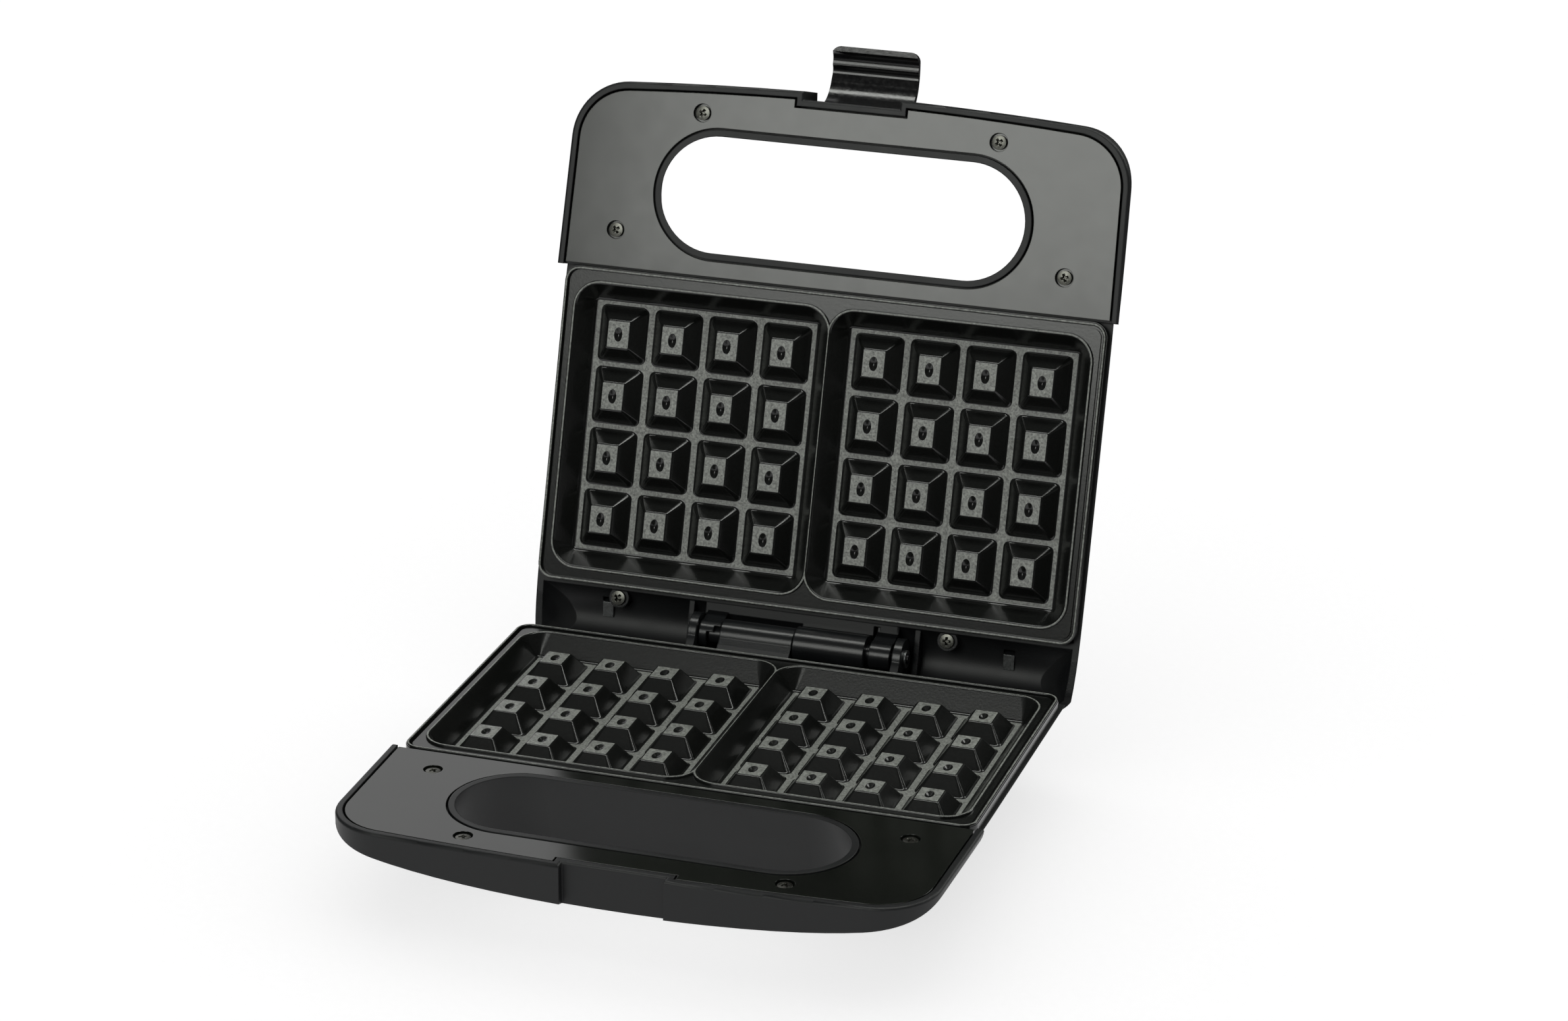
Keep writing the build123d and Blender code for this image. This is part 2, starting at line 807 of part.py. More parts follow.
def thermostat():
    """The disc thermostat against the plate's underside."""
    body = at(cavity_middle / 2, plate_reach, tub_bottom - thermostat_height / 2)
    disc = body * Cylinder(thermostat_radius, thermostat_height)
    for side in (-1, 1):
        x = cavity_middle / 2 + side * thermostat_radius
        disc += block(
            (x - 3, x + 3),
            (plate_reach - 3, plate_reach + 3),
            (tub_bottom - thermostat_height, tub_bottom - thermostat_height + 0.8),
        )
    return disc


def thermal_fuse():
    """The small thermal fuse beside the thermostat."""
    x = -cavity_middle / 2
    z = tub_bottom - heater_gap - fuse_radius
    body = rod(fuse_radius, (x - fuse_length / 2, x + fuse_length / 2), plate_reach, z)
    return body + rod(fuse_radius / 3, (x - fuse_length, x + fuse_length), plate_reach, z)


def terminal_block():
    """The block where the mains leads are joined."""
    x, reach = terminal_place
    width, depth, height = terminal_size
    body = at(x, reach, terminal_seat + height / 2) * Box(width, depth, height)
    for index in (-1, 0, 1):
        body -= at(x + index * width / 3, reach, terminal_seat + height) * Cylinder(1.8, 6)
        across = at(x + index * width / 3, reach, terminal_seat + height / 3) * Rot(90, 0, 0)
        body -= across * Cylinder(1.4, 2 * depth)
    return body


def cord_gland():
    """The bush in the rear wall where the cord goes in."""
    outer = Pos(0, -rear_reach, gland_height) * Rot(90, 0, 0)
    flange = Pos(0, -rear_reach + 0.8, gland_height) * Rot(90, 0, 0)
    bush = outer * Cylinder(gland_radius, 2 * wall + 2)
    bush += flange * Cylinder(gland_flange, 1.6)
    return bush - outer * Cylinder(gland_radius - 1.2, 8 * wall)


def foot(x, reach):
    """One rubber foot."""
    shape = at(x, reach, floor_height + foot_height / 2) * Cylinder(foot_radius, foot_height)
    return chamfer(shape.edges().group_by(Axis.Z)[0], 0.8)


def hinge_pin():
    """The steel pin through all knuckles."""
    return rod(pin_radius, pin_range)


def hinge_clips():
    """The two push-on clips that keep the hinge pin in its ears."""
    clips = []
    for ear, side in zip(base_ears, (-1, 1)):
        face = ear[0] if side < 0 else ear[1]
        x_range = sorted((face, face + side * clip_thickness))
        clips.append(rod(clip_radius, x_range) - rod(pin_radius + 0.02, x_range))
    return clips


def latch():
    """The sprung hook on the lid's edge: a curved arm from its knuckle to its thumb lip."""
    reach, depth = latch_reach, latch_pivot_depth
    inner = [
        (reach + 2.6, -depth - 0.6),
        (reach + 3.4, -depth - 4.3),
        (reach + 5.2, -depth - 7.7),
        (reach + 9.2, -depth - 11.4),
        (reach + 13.2, -depth - 12.9),
    ]
    step = (reach + 15.7, -depth - 13.7)
    ridge = ((reach + 19.4, -depth - 12.5), (reach + 19.9, -depth - 12.6))
    lip = (reach + 24.8, -depth - 9.9)
    tip = (reach + 27.2, -depth - 11.2)
    outer = [
        (reach + 26.4, -depth - 13.2),
        (reach + 21.0, -depth - 14.8),
        (reach + 15.0, -depth - 15.5),
        (reach + 8.6, -depth - 14.1),
        (reach + 3.4, -depth - 9.8),
        (reach + 0.6, -depth - 4.4),
        (reach - 0.9, -depth - 2.2),
    ]
    edges = [
        Spline(*inner),
        Line(inner[-1], step),
        ThreePointArc(step, (reach + 17.8, -depth - 13.6), ridge[0]),
        Line(*ridge),
        ThreePointArc(ridge[1], (reach + 22.7, -depth - 12.2), lip),
        Line(lip, tip),
        Line(tip, outer[0]),
        Spline(*outer),
        Line(outer[-1], inner[0]),
    ]
    width = (-latch_width / 2, latch_width / 2)
    arm = along_x(make_face(edges), width) & latch_plan(tip[0] - 0.2)
    solid = arm + rod(latch_knuckle_radius, width, *latch_axis())
    return solid - rod(latch_pin_radius + pin_running_gap, width, *latch_axis())


def latch_plan(end):
    """The latch seen from above, with the two corners of its thumb lip rounded."""
    start = latch_reach - latch_knuckle_radius
    face = at(0, (start + end) / 2) * Rectangle(latch_width, end - start)
    corners = face.vertices().sort_by(Axis.Y)[:2]
    return prism(fillet(corners, latch_corner), -2 * housing_depth, 0)


def lamp_places():
    """The two indicator lamps on the lid."""
    return [(side * lamp_spacing / 2, lamp_reach) for side in (-1, 1)]


def lamp_lens(x, reach):
    """One lens: a domed pin through the lid with its flange inside."""
    surface = -depth_at(reach, lid_front_depth, lid_rear_depth)
    inside = surface + wall + 0.6
    stem = at(x, reach, (surface - lamp_proud + inside) / 2)
    lens = stem * Cylinder(lamp_radius, inside - surface + lamp_proud)
    lens = fillet(lens.edges().group_by(Axis.Z)[0], 1.0)
    flange = at(x, reach, inside + 0.5) * Cylinder(lamp_radius + lamp_flange, 1.0)
    return lens + flange


def lamp_holder():
    """The carrier that keeps the two lamps behind their lenses."""
    surface = -depth_at(lamp_reach, lid_front_depth, lid_rear_depth)
    low = surface + wall + 1.6
    half = lamp_spacing / 2 + lamp_radius + 2
    return block((-half, half), (lamp_reach - 6, lamp_reach + 6), (low, low + 5))


def recess_screw_set():
    """The two screws in the lid's hinge recess."""
    return [screw(x, recess_screw_reach, recess_boss_top, screw_length) for x in recess_screws]


def recess_tabs():
    """The two bent tabs of the upper frame that show in the lid's hinge recess."""
    hold = Rot(-tab_angle, 0, 0) * Pos(0, 0, -lid_channel_radius + tab_size[2])
    return [Pos(side * tab_offset, 0, 0) * hold * Box(*tab_size) for side in (-1, 1)]


def tab_slots():
    """The slots in the recess that the two tabs come out of."""
    turn = tab_angle + degrees((tab_size[1] + tab_slot) / 2 / lid_channel_radius)
    hold = Rot(-turn, 0, 0) * Pos(0, 0, -lid_channel_radius)
    slots = [
        Pos(side * tab_offset, 0, 0) * hold * Box(tab_size[0] + 4 * fit_gap, tab_slot, 3 * wall)
        for side in (-1, 1)
    ]
    return Part() + slots


def swing_open(shape):
    """Turn a part of the upper half over, and swing it open about the hinge."""
    return Rot(-open_angle, 0, 0) * mirror(shape, about=Plane.XY)


def both_halves():
    """The parts that the upper and the lower half have alike."""
    return {
        "handle_panel": handle_panel(),
        "panel_screws": panel_screw_set(),
        "plate": plate(),
        "plate_frame": plate_frame(),
        "heating_element": heater(),
        "heater_clamps": heater_clamps(),
        "heat_shield": heat_shield(),
        "plate_screws": plate_screw_set(),
    }


def base_only():
    """The parts that only the lower half has."""
    return {
        "base_shell": base_shell(),
        "thermostat": thermostat(),
        "thermal_fuse": thermal_fuse(),
        "terminal_block": terminal_block(),
        "cord_gland": cord_gland(),
        "rubber_feet": [foot(x, reach) for x, reach in foot_places()],
        "hinge_pin": hinge_pin(),
        "hinge_pin_clips": hinge_clips(),
    }


def lid_only():
    """The parts that only the upper half has."""
    power, ready = lamp_places()
    return {
        "lid_shell": lid_shell(),
        "lid_recess_screws": recess_screw_set(),
        "lid_recess_tabs": recess_tabs(),
        "power_light_lens": lamp_lens(*power),
        "ready_light_lens": lamp_lens(*ready),
        "light_holder": lamp_holder(),
        "latch_pin": rod(latch_pin_radius, latch_pin_range(), *latch_axis()),
        "latch": latch(),
    }


def build_nodes():
    """Every part of the waffle maker by name, still about the hinge axis."""
    shared = both_halves()
    lower = base_only() | {f"lower_{name}": shape for name, shape in shared.items()}
    upper = lid_only() | {f"upper_{name}": shape for name, shape in shared.items()}
    nodes = {name: as_list(shape) for name, shape in lower.items()}
    for name, shape in upper.items():
        nodes[name] = [swing_open(piece) for piece in as_list(shape)]
    return nodes


def as_list(shape):
    """One solid or several, always as a list."""
    return shape if isinstance(shape, list) else [shape]


def stand_on_floor(nodes):
    """Move everything so that the bottom centre of the whole box is the origin."""
    box = Compound([piece for pieces in nodes.values() for piece in pieces]).bounding_box()
    shift = Pos(-box.center().X, -box.center().Y, -box.min.Z)
    return {name: [shift * piece for piece in pieces] for name, pieces in nodes.items()}, shift


def main():
    os.makedirs("parts", exist_ok=True)
    nodes, shift = stand_on_floor(build_nodes())
    for name, pieces in nodes.items():
        shape = pieces[0] if len(pieces) == 1 else Compound(pieces)
        export_step(shape, f"parts/{name}.step")
    axis = shift.position
    print(f"hinge axis at y={axis.Y:.3f} z={axis.Z:.3f}")


main()
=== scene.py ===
"""Two-slice waffle maker, standing open on a white table.

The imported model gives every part's place and size. This file gives the visible finish: rounded
cooking plates with their pyramids, cross-head screws, moulded and coated surfaces, studio light.
"""

import json
import math
from types import SimpleNamespace

import bmesh
import bpy
from bpy.props import FloatProperty, FloatVectorProperty, IntProperty, PointerProperty
from mathutils import Matrix, Quaternion, Vector


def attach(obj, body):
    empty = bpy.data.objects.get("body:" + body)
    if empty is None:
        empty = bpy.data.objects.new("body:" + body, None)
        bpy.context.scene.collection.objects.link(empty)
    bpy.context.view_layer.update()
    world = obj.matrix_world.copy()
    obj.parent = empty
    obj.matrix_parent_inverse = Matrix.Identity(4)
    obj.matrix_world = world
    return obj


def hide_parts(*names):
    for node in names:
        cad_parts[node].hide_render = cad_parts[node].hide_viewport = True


bl_info = {
    "name": "Waffle Maker",
    "version": (1, 0, 0),
    "blender": (4, 5, 0),
    "location": "View3D > Sidebar > Waffle Maker",
    "description": "Finishes the packed waffle maker: plates, screws, surfaces and studio",
    "category": "Object",
}

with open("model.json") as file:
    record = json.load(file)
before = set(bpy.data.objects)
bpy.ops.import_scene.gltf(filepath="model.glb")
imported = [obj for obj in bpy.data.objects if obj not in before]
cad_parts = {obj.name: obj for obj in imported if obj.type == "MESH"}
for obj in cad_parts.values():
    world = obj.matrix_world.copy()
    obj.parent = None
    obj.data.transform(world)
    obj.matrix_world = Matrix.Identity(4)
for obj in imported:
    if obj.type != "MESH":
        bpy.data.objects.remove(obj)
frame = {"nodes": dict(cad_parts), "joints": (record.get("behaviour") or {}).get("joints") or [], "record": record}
MM = 0.001


def joint(name):
    """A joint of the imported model."""
    return next(entry for entry in frame["joints"] if entry["name"] == name)


# Colours and materials


def linear(hex_colour):
    """A '#rrggbb' screen colour as a linear RGBA colour."""
    channels = [int(hex_colour[i : i + 2], 16) / 255 for i in (1, 3, 5)]
    return (
        *[c / 12.92 if c <= 0.04045 else ((c + 0.055) / 1.055) ** 2.4 for c in channels],
        1.0,
    )


def add(tree, kind, settings=None, **inputs):
    """Adds one node. An input is a value, or a (node, output name) pair to link from."""
    node = tree.nodes.new(kind)
    for name, value in (settings or {}).items():
        setattr(node, name, value)
    for name, value in inputs.items():
        socket = node.inputs[int(name[1:]) if name[1:].isdigit() else name.replace("_", " ")]
        if isinstance(value, tuple) and len(value) == 2 and hasattr(value[0], "outputs"):
            tree.links.new(value[0].outputs[value[1]], socket)
        else:
            socket.default_value = value
    return node


def new_material(name):
    """An empty node material with its shader and output; returns the tree and the shader."""
    material = bpy.data.materials.new(name)
    material.use_nodes = True
    tree = material.node_tree
    tree.nodes.clear()
    shader = add(tree, "ShaderNodeBsdfPrincipled")
    add(tree, "ShaderNodeOutputMaterial", Surface=(shader, "BSDF"))
    return material, tree, shader


def shades(colour, share):
    """A darker and a lighter shade of a colour, for a mottled surface."""
    return [(*[channel * (1 + sign * share) for channel in colour[:3]], 1.0) for sign in (-1, 1)]


def vary(tree, target, socket, size_mm, low, high, detail=3.0, lumps=0.5):
    """Lets a node's input wander between two numbers or colours, in patches of a real size."""
    place = add(tree, "ShaderNodeTexCoord")
    patches = add(
        tree,
        "ShaderNodeTexNoise",
        Vector=(place, "Object"),
        Scale=1 / (size_mm * MM),
        Detail=detail,
        Roughness=lumps,
    )
    share = add(tree, "ShaderNodeMapRange", Value=(patches, "Fac"), From_Min=0.3, From_Max=0.7)
    kind, first, out = ("RGBA", 6, 2) if isinstance(low, tuple) else ("FLOAT", 2, 0)
    ends = {f"_{first}": low, f"_{first + 1}": high}
    mixed = add(tree, "ShaderNodeMix", {"data_type": kind}, Factor=(share, "Result"), **ends)
    tree.links.new(mixed.outputs[out], target.inputs[socket])


def relief(tree, shader, size_mm, depth_mm, strength, edge_mm=0.0, detail=2.0):
    """Gives a shader a grain of a real size, and softly rounded edges."""
    place = add(tree, "ShaderNodeTexCoord")
    grain = add(
        tree,
        "ShaderNodeTexNoise",
        Vector=(place, "Object"),
        Scale=1 / (size_mm * MM),
        Detail=detail,
    )
    bump = add(
        tree, "ShaderNodeBump", Height=(grain, "Fac"), Distance=depth_mm * MM, Strength=strength
    )
    if edge_mm:
        edge = add(tree, "ShaderNodeBevel", {"samples": 6}, Radius=edge_mm * MM)
        tree.links.new(edge.outputs["Normal"], bump.inputs["Normal"])
    tree.links.new(bump.outputs["Normal"], shader.inputs["Normal"])


def grained_housing_plastic(name, colour):
    """Glass filled PBT from a spark eroded mould: a charcoal skin with a fine even grain and low
    sheen, rubbed smooth on the knuckles where the two halves turn on each other. The real grain
    is too fine to show, so it is drawn as 0.55 mm."""
    grain_mm = 0.55
    smooth_to, grained_from = 8.5 * MM, 10 * MM  # distances from the hinge's axis
    material, tree, shader = new_material(name)
    vary(tree, shader, "Base Color", 18, *shades(colour, 0.18))
    hinge = joint("lid_hinge")["pos_m"]
    place = add(tree, "ShaderNodeTexCoord")
    beside = add(
        tree,
        "ShaderNodeMapping",
        Vector=(place, "Object"),
        Location=(0, -hinge[1], -hinge[2]),
        Scale=(0, 1, 1),
    )
    reach = add(tree, "ShaderNodeVectorMath", {"operation": "LENGTH"}, _0=(beside, "Vector"))
    grained = add(
        tree,
        "ShaderNodeMapRange",
        Value=(reach, "Value"),
        From_Min=smooth_to,
        From_Max=grained_from,
    )
    rough = add(tree, "ShaderNodeMix", {"data_type": "FLOAT"}, Factor=(grained, "Result"), _2=0.24)
    vary(tree, rough, 3, 18, 0.42, 0.5)
    tree.links.new(rough.outputs[0], shader.inputs["Roughness"])
    shader.inputs["IOR"].default_value = 1.38
    relief(tree, shader, grain_mm, 0.05, 0.5, 0.6)
    return material


def gloss_panel_plastic(name, colour):
    """Polished ABS: near black, mirror gloss with faint sink marks and a few rubbed patches."""
    material, tree, shader = new_material(name)
    vary(tree, shader, "Base Color", 45, *shades(colour, 0.22))
    vary(tree, shader, "Roughness", 9, 0.14, 0.17, detail=4, lumps=0.65)
    relief(tree, shader, 45, 0.12, 0.25, 0.35, detail=3)
    return material


def nonstick_coating(name, sloped, level_and_sheen_colour):
    """Sprayed PTFE on cast aluminium: black and glossy on slopes. Floors, tops and bead crests are
    rougher and speckled, and painted grey: a painted reflection of the lamps they face. The
    speckle reads about 0.8 mm across, blur included; it is drawn as 0.9."""
    peel_mm = 0.9
    material, tree, shader = new_material(name)
    level = add(tree, "ShaderNodeAttribute", {"attribute_name": "level"})
    coat = add(tree, "ShaderNodeMix", {"data_type": "RGBA"}, Factor=(level, "Fac"))
    vary(tree, coat, 6, peel_mm, *shades(sloped, 0.25), lumps=0.6)
    # Painted reflection: the level faces are painted grey for the lamps they face; the speckle is the coating's
    # own.
    vary(tree, coat, 7, peel_mm, *shades(level_and_sheen_colour, 0.6), lumps=0.6)
    tree.links.new(coat.outputs[2], shader.inputs["Base Color"])
    rough = add(tree, "ShaderNodeMapRange", Value=(level, "Fac"), To_Min=0.2, To_Max=0.45)
    tree.links.new(rough.outputs["Result"], shader.inputs["Roughness"])
    shader.inputs["IOR"].default_value = 1.46
    relief(tree, shader, peel_mm, 0.04, 0.4, detail=3)
    return material


def steel(name, colour, rough_low, rough_high, streak_mm):
    """Rolled or drawn steel: metallic, with fine roughness streaks."""
    material, tree, shader = new_material(name)
    shader.inputs["Metallic"].default_value = 1.0
    vary(tree, shader, "Base Color", streak_mm, *shades(colour, 0.15), detail=4)
    vary(tree, shader, "Roughness", streak_mm, rough_low, rough_high, detail=4)
    relief(tree, shader, streak_mm, 0.02, 0.3, 0.2, detail=4)
    return material


def coloured_plastic(name, colour, roughness, edge_mm=0.3):
    """Moulded nylon, acrylic or rubber in one colour, with a slight mottled grain."""
    material, tree, shader = new_material(name)
    vary(tree, shader, "Base Color", 1.5, *shades(colour, 0.12))
    vary(tree, shader, "Roughness", 1.5, roughness - 0.05, roughness + 0.05)
    relief(tree, shader, 1.5, 0.04, 0.4, edge_mm, detail=3)
    return material


def finish(slot):
    """The material for one of the record's slots, made when it is first asked for."""
    tones = bpy.context.scene.waffle_colours
    choices = {
        "shell_plastic": ("grained_pbt", grained_housing_plastic, tones.housing),
        "panel_plastic": ("polished_abs", gloss_panel_plastic, tones.panel),
        "nonstick_plate": ("sprayed_ptfe", nonstick_coating, tones.coating, tones.level_coating_and_sheen),
        "latch_plastic": ("moulded_abs", coloured_plastic, tones.latch, 0.2),
        "frame_steel": ("stove_painted_steel", coloured_plastic, tones.frame, 0.45),
        "shield_steel": ("rolled_bright_steel", steel, tones.shield, 0.22, 0.34, 2),
        "heater_steel": ("drawn_sheath_steel", steel, tones.heater, 0.35, 0.5, 1.5),
        "screw_steel": ("black_nickel_steel", steel, tones.screws, 0.26, 0.38, 0.8),
        "pin_steel": ("black_oxide_steel", steel, tones.pins, 0.3, 0.4, 0.8),
        "tab_steel": ("zinc_plated_steel", steel, tones.tabs, 0.36, 0.48, 0.8),
        "control_plastic": ("cream_nylon", coloured_plastic, tones.controls, 0.5),
        "foot_rubber": ("black_rubber", coloured_plastic, tones.feet, 0.75, 0.4),
        "red_lens": ("red_acrylic", coloured_plastic, tones.power_light, 0.12),
        "green_lens": ("green_acrylic", coloured_plastic, tones.ready_light, 0.12),
    }
    name, make, *values = choices[slot]
    return bpy.data.materials.get(name) or make(name, *values)


def colour(name, description, hex_colour):
    """A colour property whose default is given as a screen colour."""
    return FloatVectorProperty(
        name=name,
        description=description,
        default=linear(hex_colour),
        size=4,
        min=0,
        max=1,
        subtype="COLOR",
    )


class SurfaceColours(bpy.types.PropertyGroup):
    """The middle shade of each finish"""

    housing: colour("Housing", "Grained plastic of both halves", "#131415")
    panel: colour("Handle Panels", "Polished plastic round the hand openings", "#0e100d")
    coating: colour("Coating", "Non-stick coating on the plates' slopes and edges", "#0e0f0e")
    # Painted grey on floors, tops and crests, as a painted reflection of the lamps, over the coating's black.
    level_coating_and_sheen: colour("Level Coating And Sheen", "The coating on cavity floors and tops", "#696b67")
    latch: colour("Latch", "Plastic of the snap latch", "#0b0b0c")
    frame: colour("Plate Frames", "Painted frames between plates and housings", "#151515")
    shield: colour("Heat Shields", "Bright steel shields and clamps", "#c2c2be")
    heater: colour("Heaters", "Sheath of the heating elements", "#7c7771")
    screws: colour("Screws", "Cross-head screws", "#5e5e59")
    pins: colour("Pins", "Hinge pin and latch pin", "#323233")
    tabs: colour("Tabs", "Bent tabs, clips and fuse", "#7a7c7c")
    controls: colour("Controls", "Thermostat, terminal block and lamp holder", "#d8d0bf")
    feet: colour("Rubber", "Feet and cord gland", "#181818")
    power_light: colour("Power Light", "Lens of the power light", "#9c1610")
    ready_light: colour("Ready Light", "Lens of the ready light", "#176c29")


# Mesh and node tree helpers


def half_place(body):
    """Puts a half's drawing, tray side up about the hinge axis, into its place on the machine."""
    hinge = joint("lid_hinge")
    place = Matrix.Translation(hinge["pos_m"])
    if body == "lid":
        swing = Matrix.Rotation(-math.radians(hinge["range_deg"][1]), 4, "X")
        place = place @ swing @ Matrix.Diagonal((1, 1, -1, 1))
    return place


def rounded_ring(half, corner, z, middle=(0.0, 0.0), steps=8):
    """Points round a rounded rectangle at one height."""
    points = []
    for quarter, (right, up) in enumerate(((1, 1), (-1, 1), (-1, -1), (1, -1))):
        x = middle[0] + right * (half[0] - corner)
        y = middle[1] + up * (half[1] - corner)
        for step in range(steps + 1):
            angle = math.pi / 2 * (quarter + step / steps)
            points.append((x + corner * math.cos(angle), y + corner * math.sin(angle), z))
    return points


def oval_ring(half, z, count):
    """Points round an ellipse at one height, matched to a rounded ring of as many points."""
    angles = [math.tau * (index + 0.5) / count for index in range(count)]
    return [(half[0] * math.cos(angle), half[1] * math.sin(angle), z) for angle in angles]


def skin(bm, rings):
    """Joins rings of points into a surface, and returns its first and last ring of vertices."""
    loops = [[bm.verts.new(point) for point in points] for points in rings]
    for low, high in zip(loops, loops[1:]):
        for index in range(len(low)):
            bm.faces.new((low[index - 1], low[index], high[index], high[index - 1]))
    return loops[0], loops[-1]


def eased(start, corner, end, count=4):
    """Rounds the corner of a profile: points on the curve between two of its sides."""
    points = []
    for index in range(count + 1):
        t = index / count
        shares = ((1 - t) ** 2, 2 * t * (1 - t), t**2)
        places = (start, corner, end)
        points.append(tuple(sum(s * p[axis] for s, p in zip(shares, places)) for axis in (0, 1)))
    return points


def fill_level(bm, z):
    """Closes the flat area between the open edges at one height."""
    edges = [
        edge
        for edge in bm.edges
        if edge.is_boundary and all(abs(vertex.co.z - z) < 0.001 * MM for vertex in edge.verts)
    ]
    bmesh.ops.triangle_fill(bm, edges=edges, use_beauty=True, normal=(0, 0, 1))


def node_tree(name, inputs):
    """An empty geometry node tree with named inputs; returns the tree and its input node."""
    tree = bpy.data.node_groups.new(name, "GeometryNodeTree")
    face = tree.interface
    face.new_socket("Geometry", in_out="INPUT", socket_type="NodeSocketGeometry")
    for label, kind in inputs.items():
        face.new_socket(label, in_out="INPUT", socket_type="NodeSocket" + kind)
    face.new_socket("Geometry", in_out="OUTPUT", socket_type="NodeSocketGeometry")
    return tree, tree.nodes.new("NodeGroupInput")


def finish_tree(tree, shape, source):
    """Ends a tree: instances made real, one material, and the way out."""
    real = add(tree, "GeometryNodeRealizeInstances", Geometry=shape)
    coated = add(
        tree,
        "GeometryNodeSetMaterial",
        Geometry=(real, "Geometry"),
        Material=(source, "Material"),
    )
    add(tree, "NodeGroupOutput", Geometry=(coated, "Geometry"))


def grown(mesh, tree, values):
    """Runs a node tree on a mesh and returns the plain mesh that comes out."""
    carrier = bpy.data.objects.new(tree.name, mesh)
    bpy.context.scene.collection.objects.link(carrier)
    modifier = carrier.modifiers.new(tree.name, "NODES")
    modifier.node_group = tree
    for item in tree.interface.items_tree:
        if item.in_out == "INPUT" and item.name in values:
            modifier[item.identifier] = values[item.name]
    graph = bpy.context.evaluated_depsgraph_get()
    made = bpy.data.meshes.new_from_object(carrier.evaluated_get(graph), depsgraph=graph)
    carrier.modifiers.remove(modifier)
    bpy.data.objects.remove(carrier)
    return made


def plain_mesh(name, bm):
    """A mesh from a bmesh, which is freed."""
    mesh = bpy.data.meshes.new(name)
    bm.to_mesh(mesh)
    bm.free()
    return mesh


def make_piece(name, bm, slot, body, *nodes, crease=38):
    """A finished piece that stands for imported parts: faces outwards, smooth up to a crease."""
    bm.normal_update()
    bmesh.ops.recalc_face_normals(bm, faces=bm.faces)
    for face in bm.faces:
        face.smooth = True
        face.material_index = 0
    mesh = plain_mesh(name, bm)
    mesh.set_sharp_from_angle(angle=math.radians(crease))
    mesh.materials.clear()
    mesh.materials.append(finish(slot))
    piece = bpy.data.objects.new(name, mesh)
    bpy.context.scene.collection.objects.link(piece)
    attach(piece, body)
    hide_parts(*nodes)
    return piece


def weigh_normals(piece):
    """Keeps flat faces flat beside rounded edges."""
    modifier = piece.modifiers.new("flat_faces", "WEIGHTED_NORMAL")
    modifier.keep_sharp = True


# Cooking plates


def length(name, description, mm):
    """A length property whose default is given in millimetres."""
    return FloatProperty(
        name=name, description=description, default=mm * MM, min=0, unit="LENGTH", precision=4
    )


CASTING_WALL = 2.6 * MM
BEAD_ROUNDING = 0.6 * MM
CREST_DROP = 0.2 * MM  # half the gap between the two plates' beads when shut


class PlateSizes(bpy.types.PropertyGroup):
    """Sizes of the cooking plates"""

    columns: IntProperty(
        name="Columns", description="Pyramids across one cavity", default=4, min=2
    )
    rows: IntProperty(
        name="Rows", description="Pyramids from hinge to handle in one cavity", default=4, min=2
    )
    column_pitch: length("Column Pitch", "From pyramid to pyramid, side to side", 23.0)
    row_pitch: length("Row Pitch", "From pyramid to pyramid, hinge to handle", 25.1)
    base_width: length("Base Width", "Pyramid's foot, side to side", 19.5)
    base_length: length("Base Length", "Pyramid's foot, hinge to handle", 22.2)
    top_width: length("Top Width", "Pyramid's flat top, side to side", 9.7)
    top_length: length("Top Length", "Pyramid's flat top, hinge to handle", 11.5)
    pyramid_height: length("Pyramid Height", "From the cavity's floor to the flat top", 6.8)
    dimple_width: length("Dimple Width", "Oval pit in each top, side to side", 3.2)
    dimple_length: length("Dimple Length", "Oval pit in each top, hinge to handle", 5.4)
    dimple_depth: length("Dimple Depth", "Depth of the oval pit", 0.9)
    cavity_depth: length("Cavity Depth", "From the bead's crest to the cavity's floor", 8.6)
    wall_run: length("Wall Run", "How far a cavity's wall slopes inwards", 5.9)
    divider: length("Divider", "Between the mouths of the two cavities", 1.0)
    bead_width: length("Bead Width", "Width of the raised beads", 1.3)
    bead_height: length("Bead Height", "Height of the raised beads", 0.9)
    groove_width: length("Groove Width", "Width of the overflow groove", 1.0)
    groove_depth: length("Groove Depth", "Depth of the overflow groove", 0.8)


def plate_plan(sizes):
    """Places on a plate that follow from its sizes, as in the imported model."""
    floor_margin = (3.05 * MM, 2.75 * MM)  # from the outer pyramids' feet to the floor's edge
    flange_margin = (5.7 * MM, 6.4 * MM)  # from the cavities' mouths to the plate's edge
    hinge_gap = 13.35 * MM  # from the hinge's axis to the plate's edge
    flange_thickness = 3.0 * MM
    post_length = 8.6 * MM
    plan = SimpleNamespace()
    plan.floor_half = (
        (sizes.columns - 1) * sizes.column_pitch / 2 + sizes.base_width / 2 + floor_margin[0],
        (sizes.rows - 1) * sizes.row_pitch / 2 + sizes.base_length / 2 + floor_margin[1],
    )
    plan.mouth_half = tuple(side + sizes.wall_run for side in plan.floor_half)
    plan.cavity_middle = sizes.divider / 2 + plan.mouth_half[0]
    plan.half = (
        plan.cavity_middle + plan.mouth_half[0] + flange_margin[0],
        plan.mouth_half[1] + flange_margin[1],
    )
    plan.reach = hinge_gap + plan.half[1]
    plan.crest = -CREST_DROP
    plan.flange = plan.crest - sizes.bead_height
    plan.floor = plan.crest - sizes.cavity_depth
    plan.levels = (plan.floor, plan.floor + sizes.pyramid_height)
    plan.underside = plan.flange - flange_thickness
    plan.tub_bottom = plan.floor - CASTING_WALL
    plan.post_bottom = plan.tub_bottom - post_length
    return plan


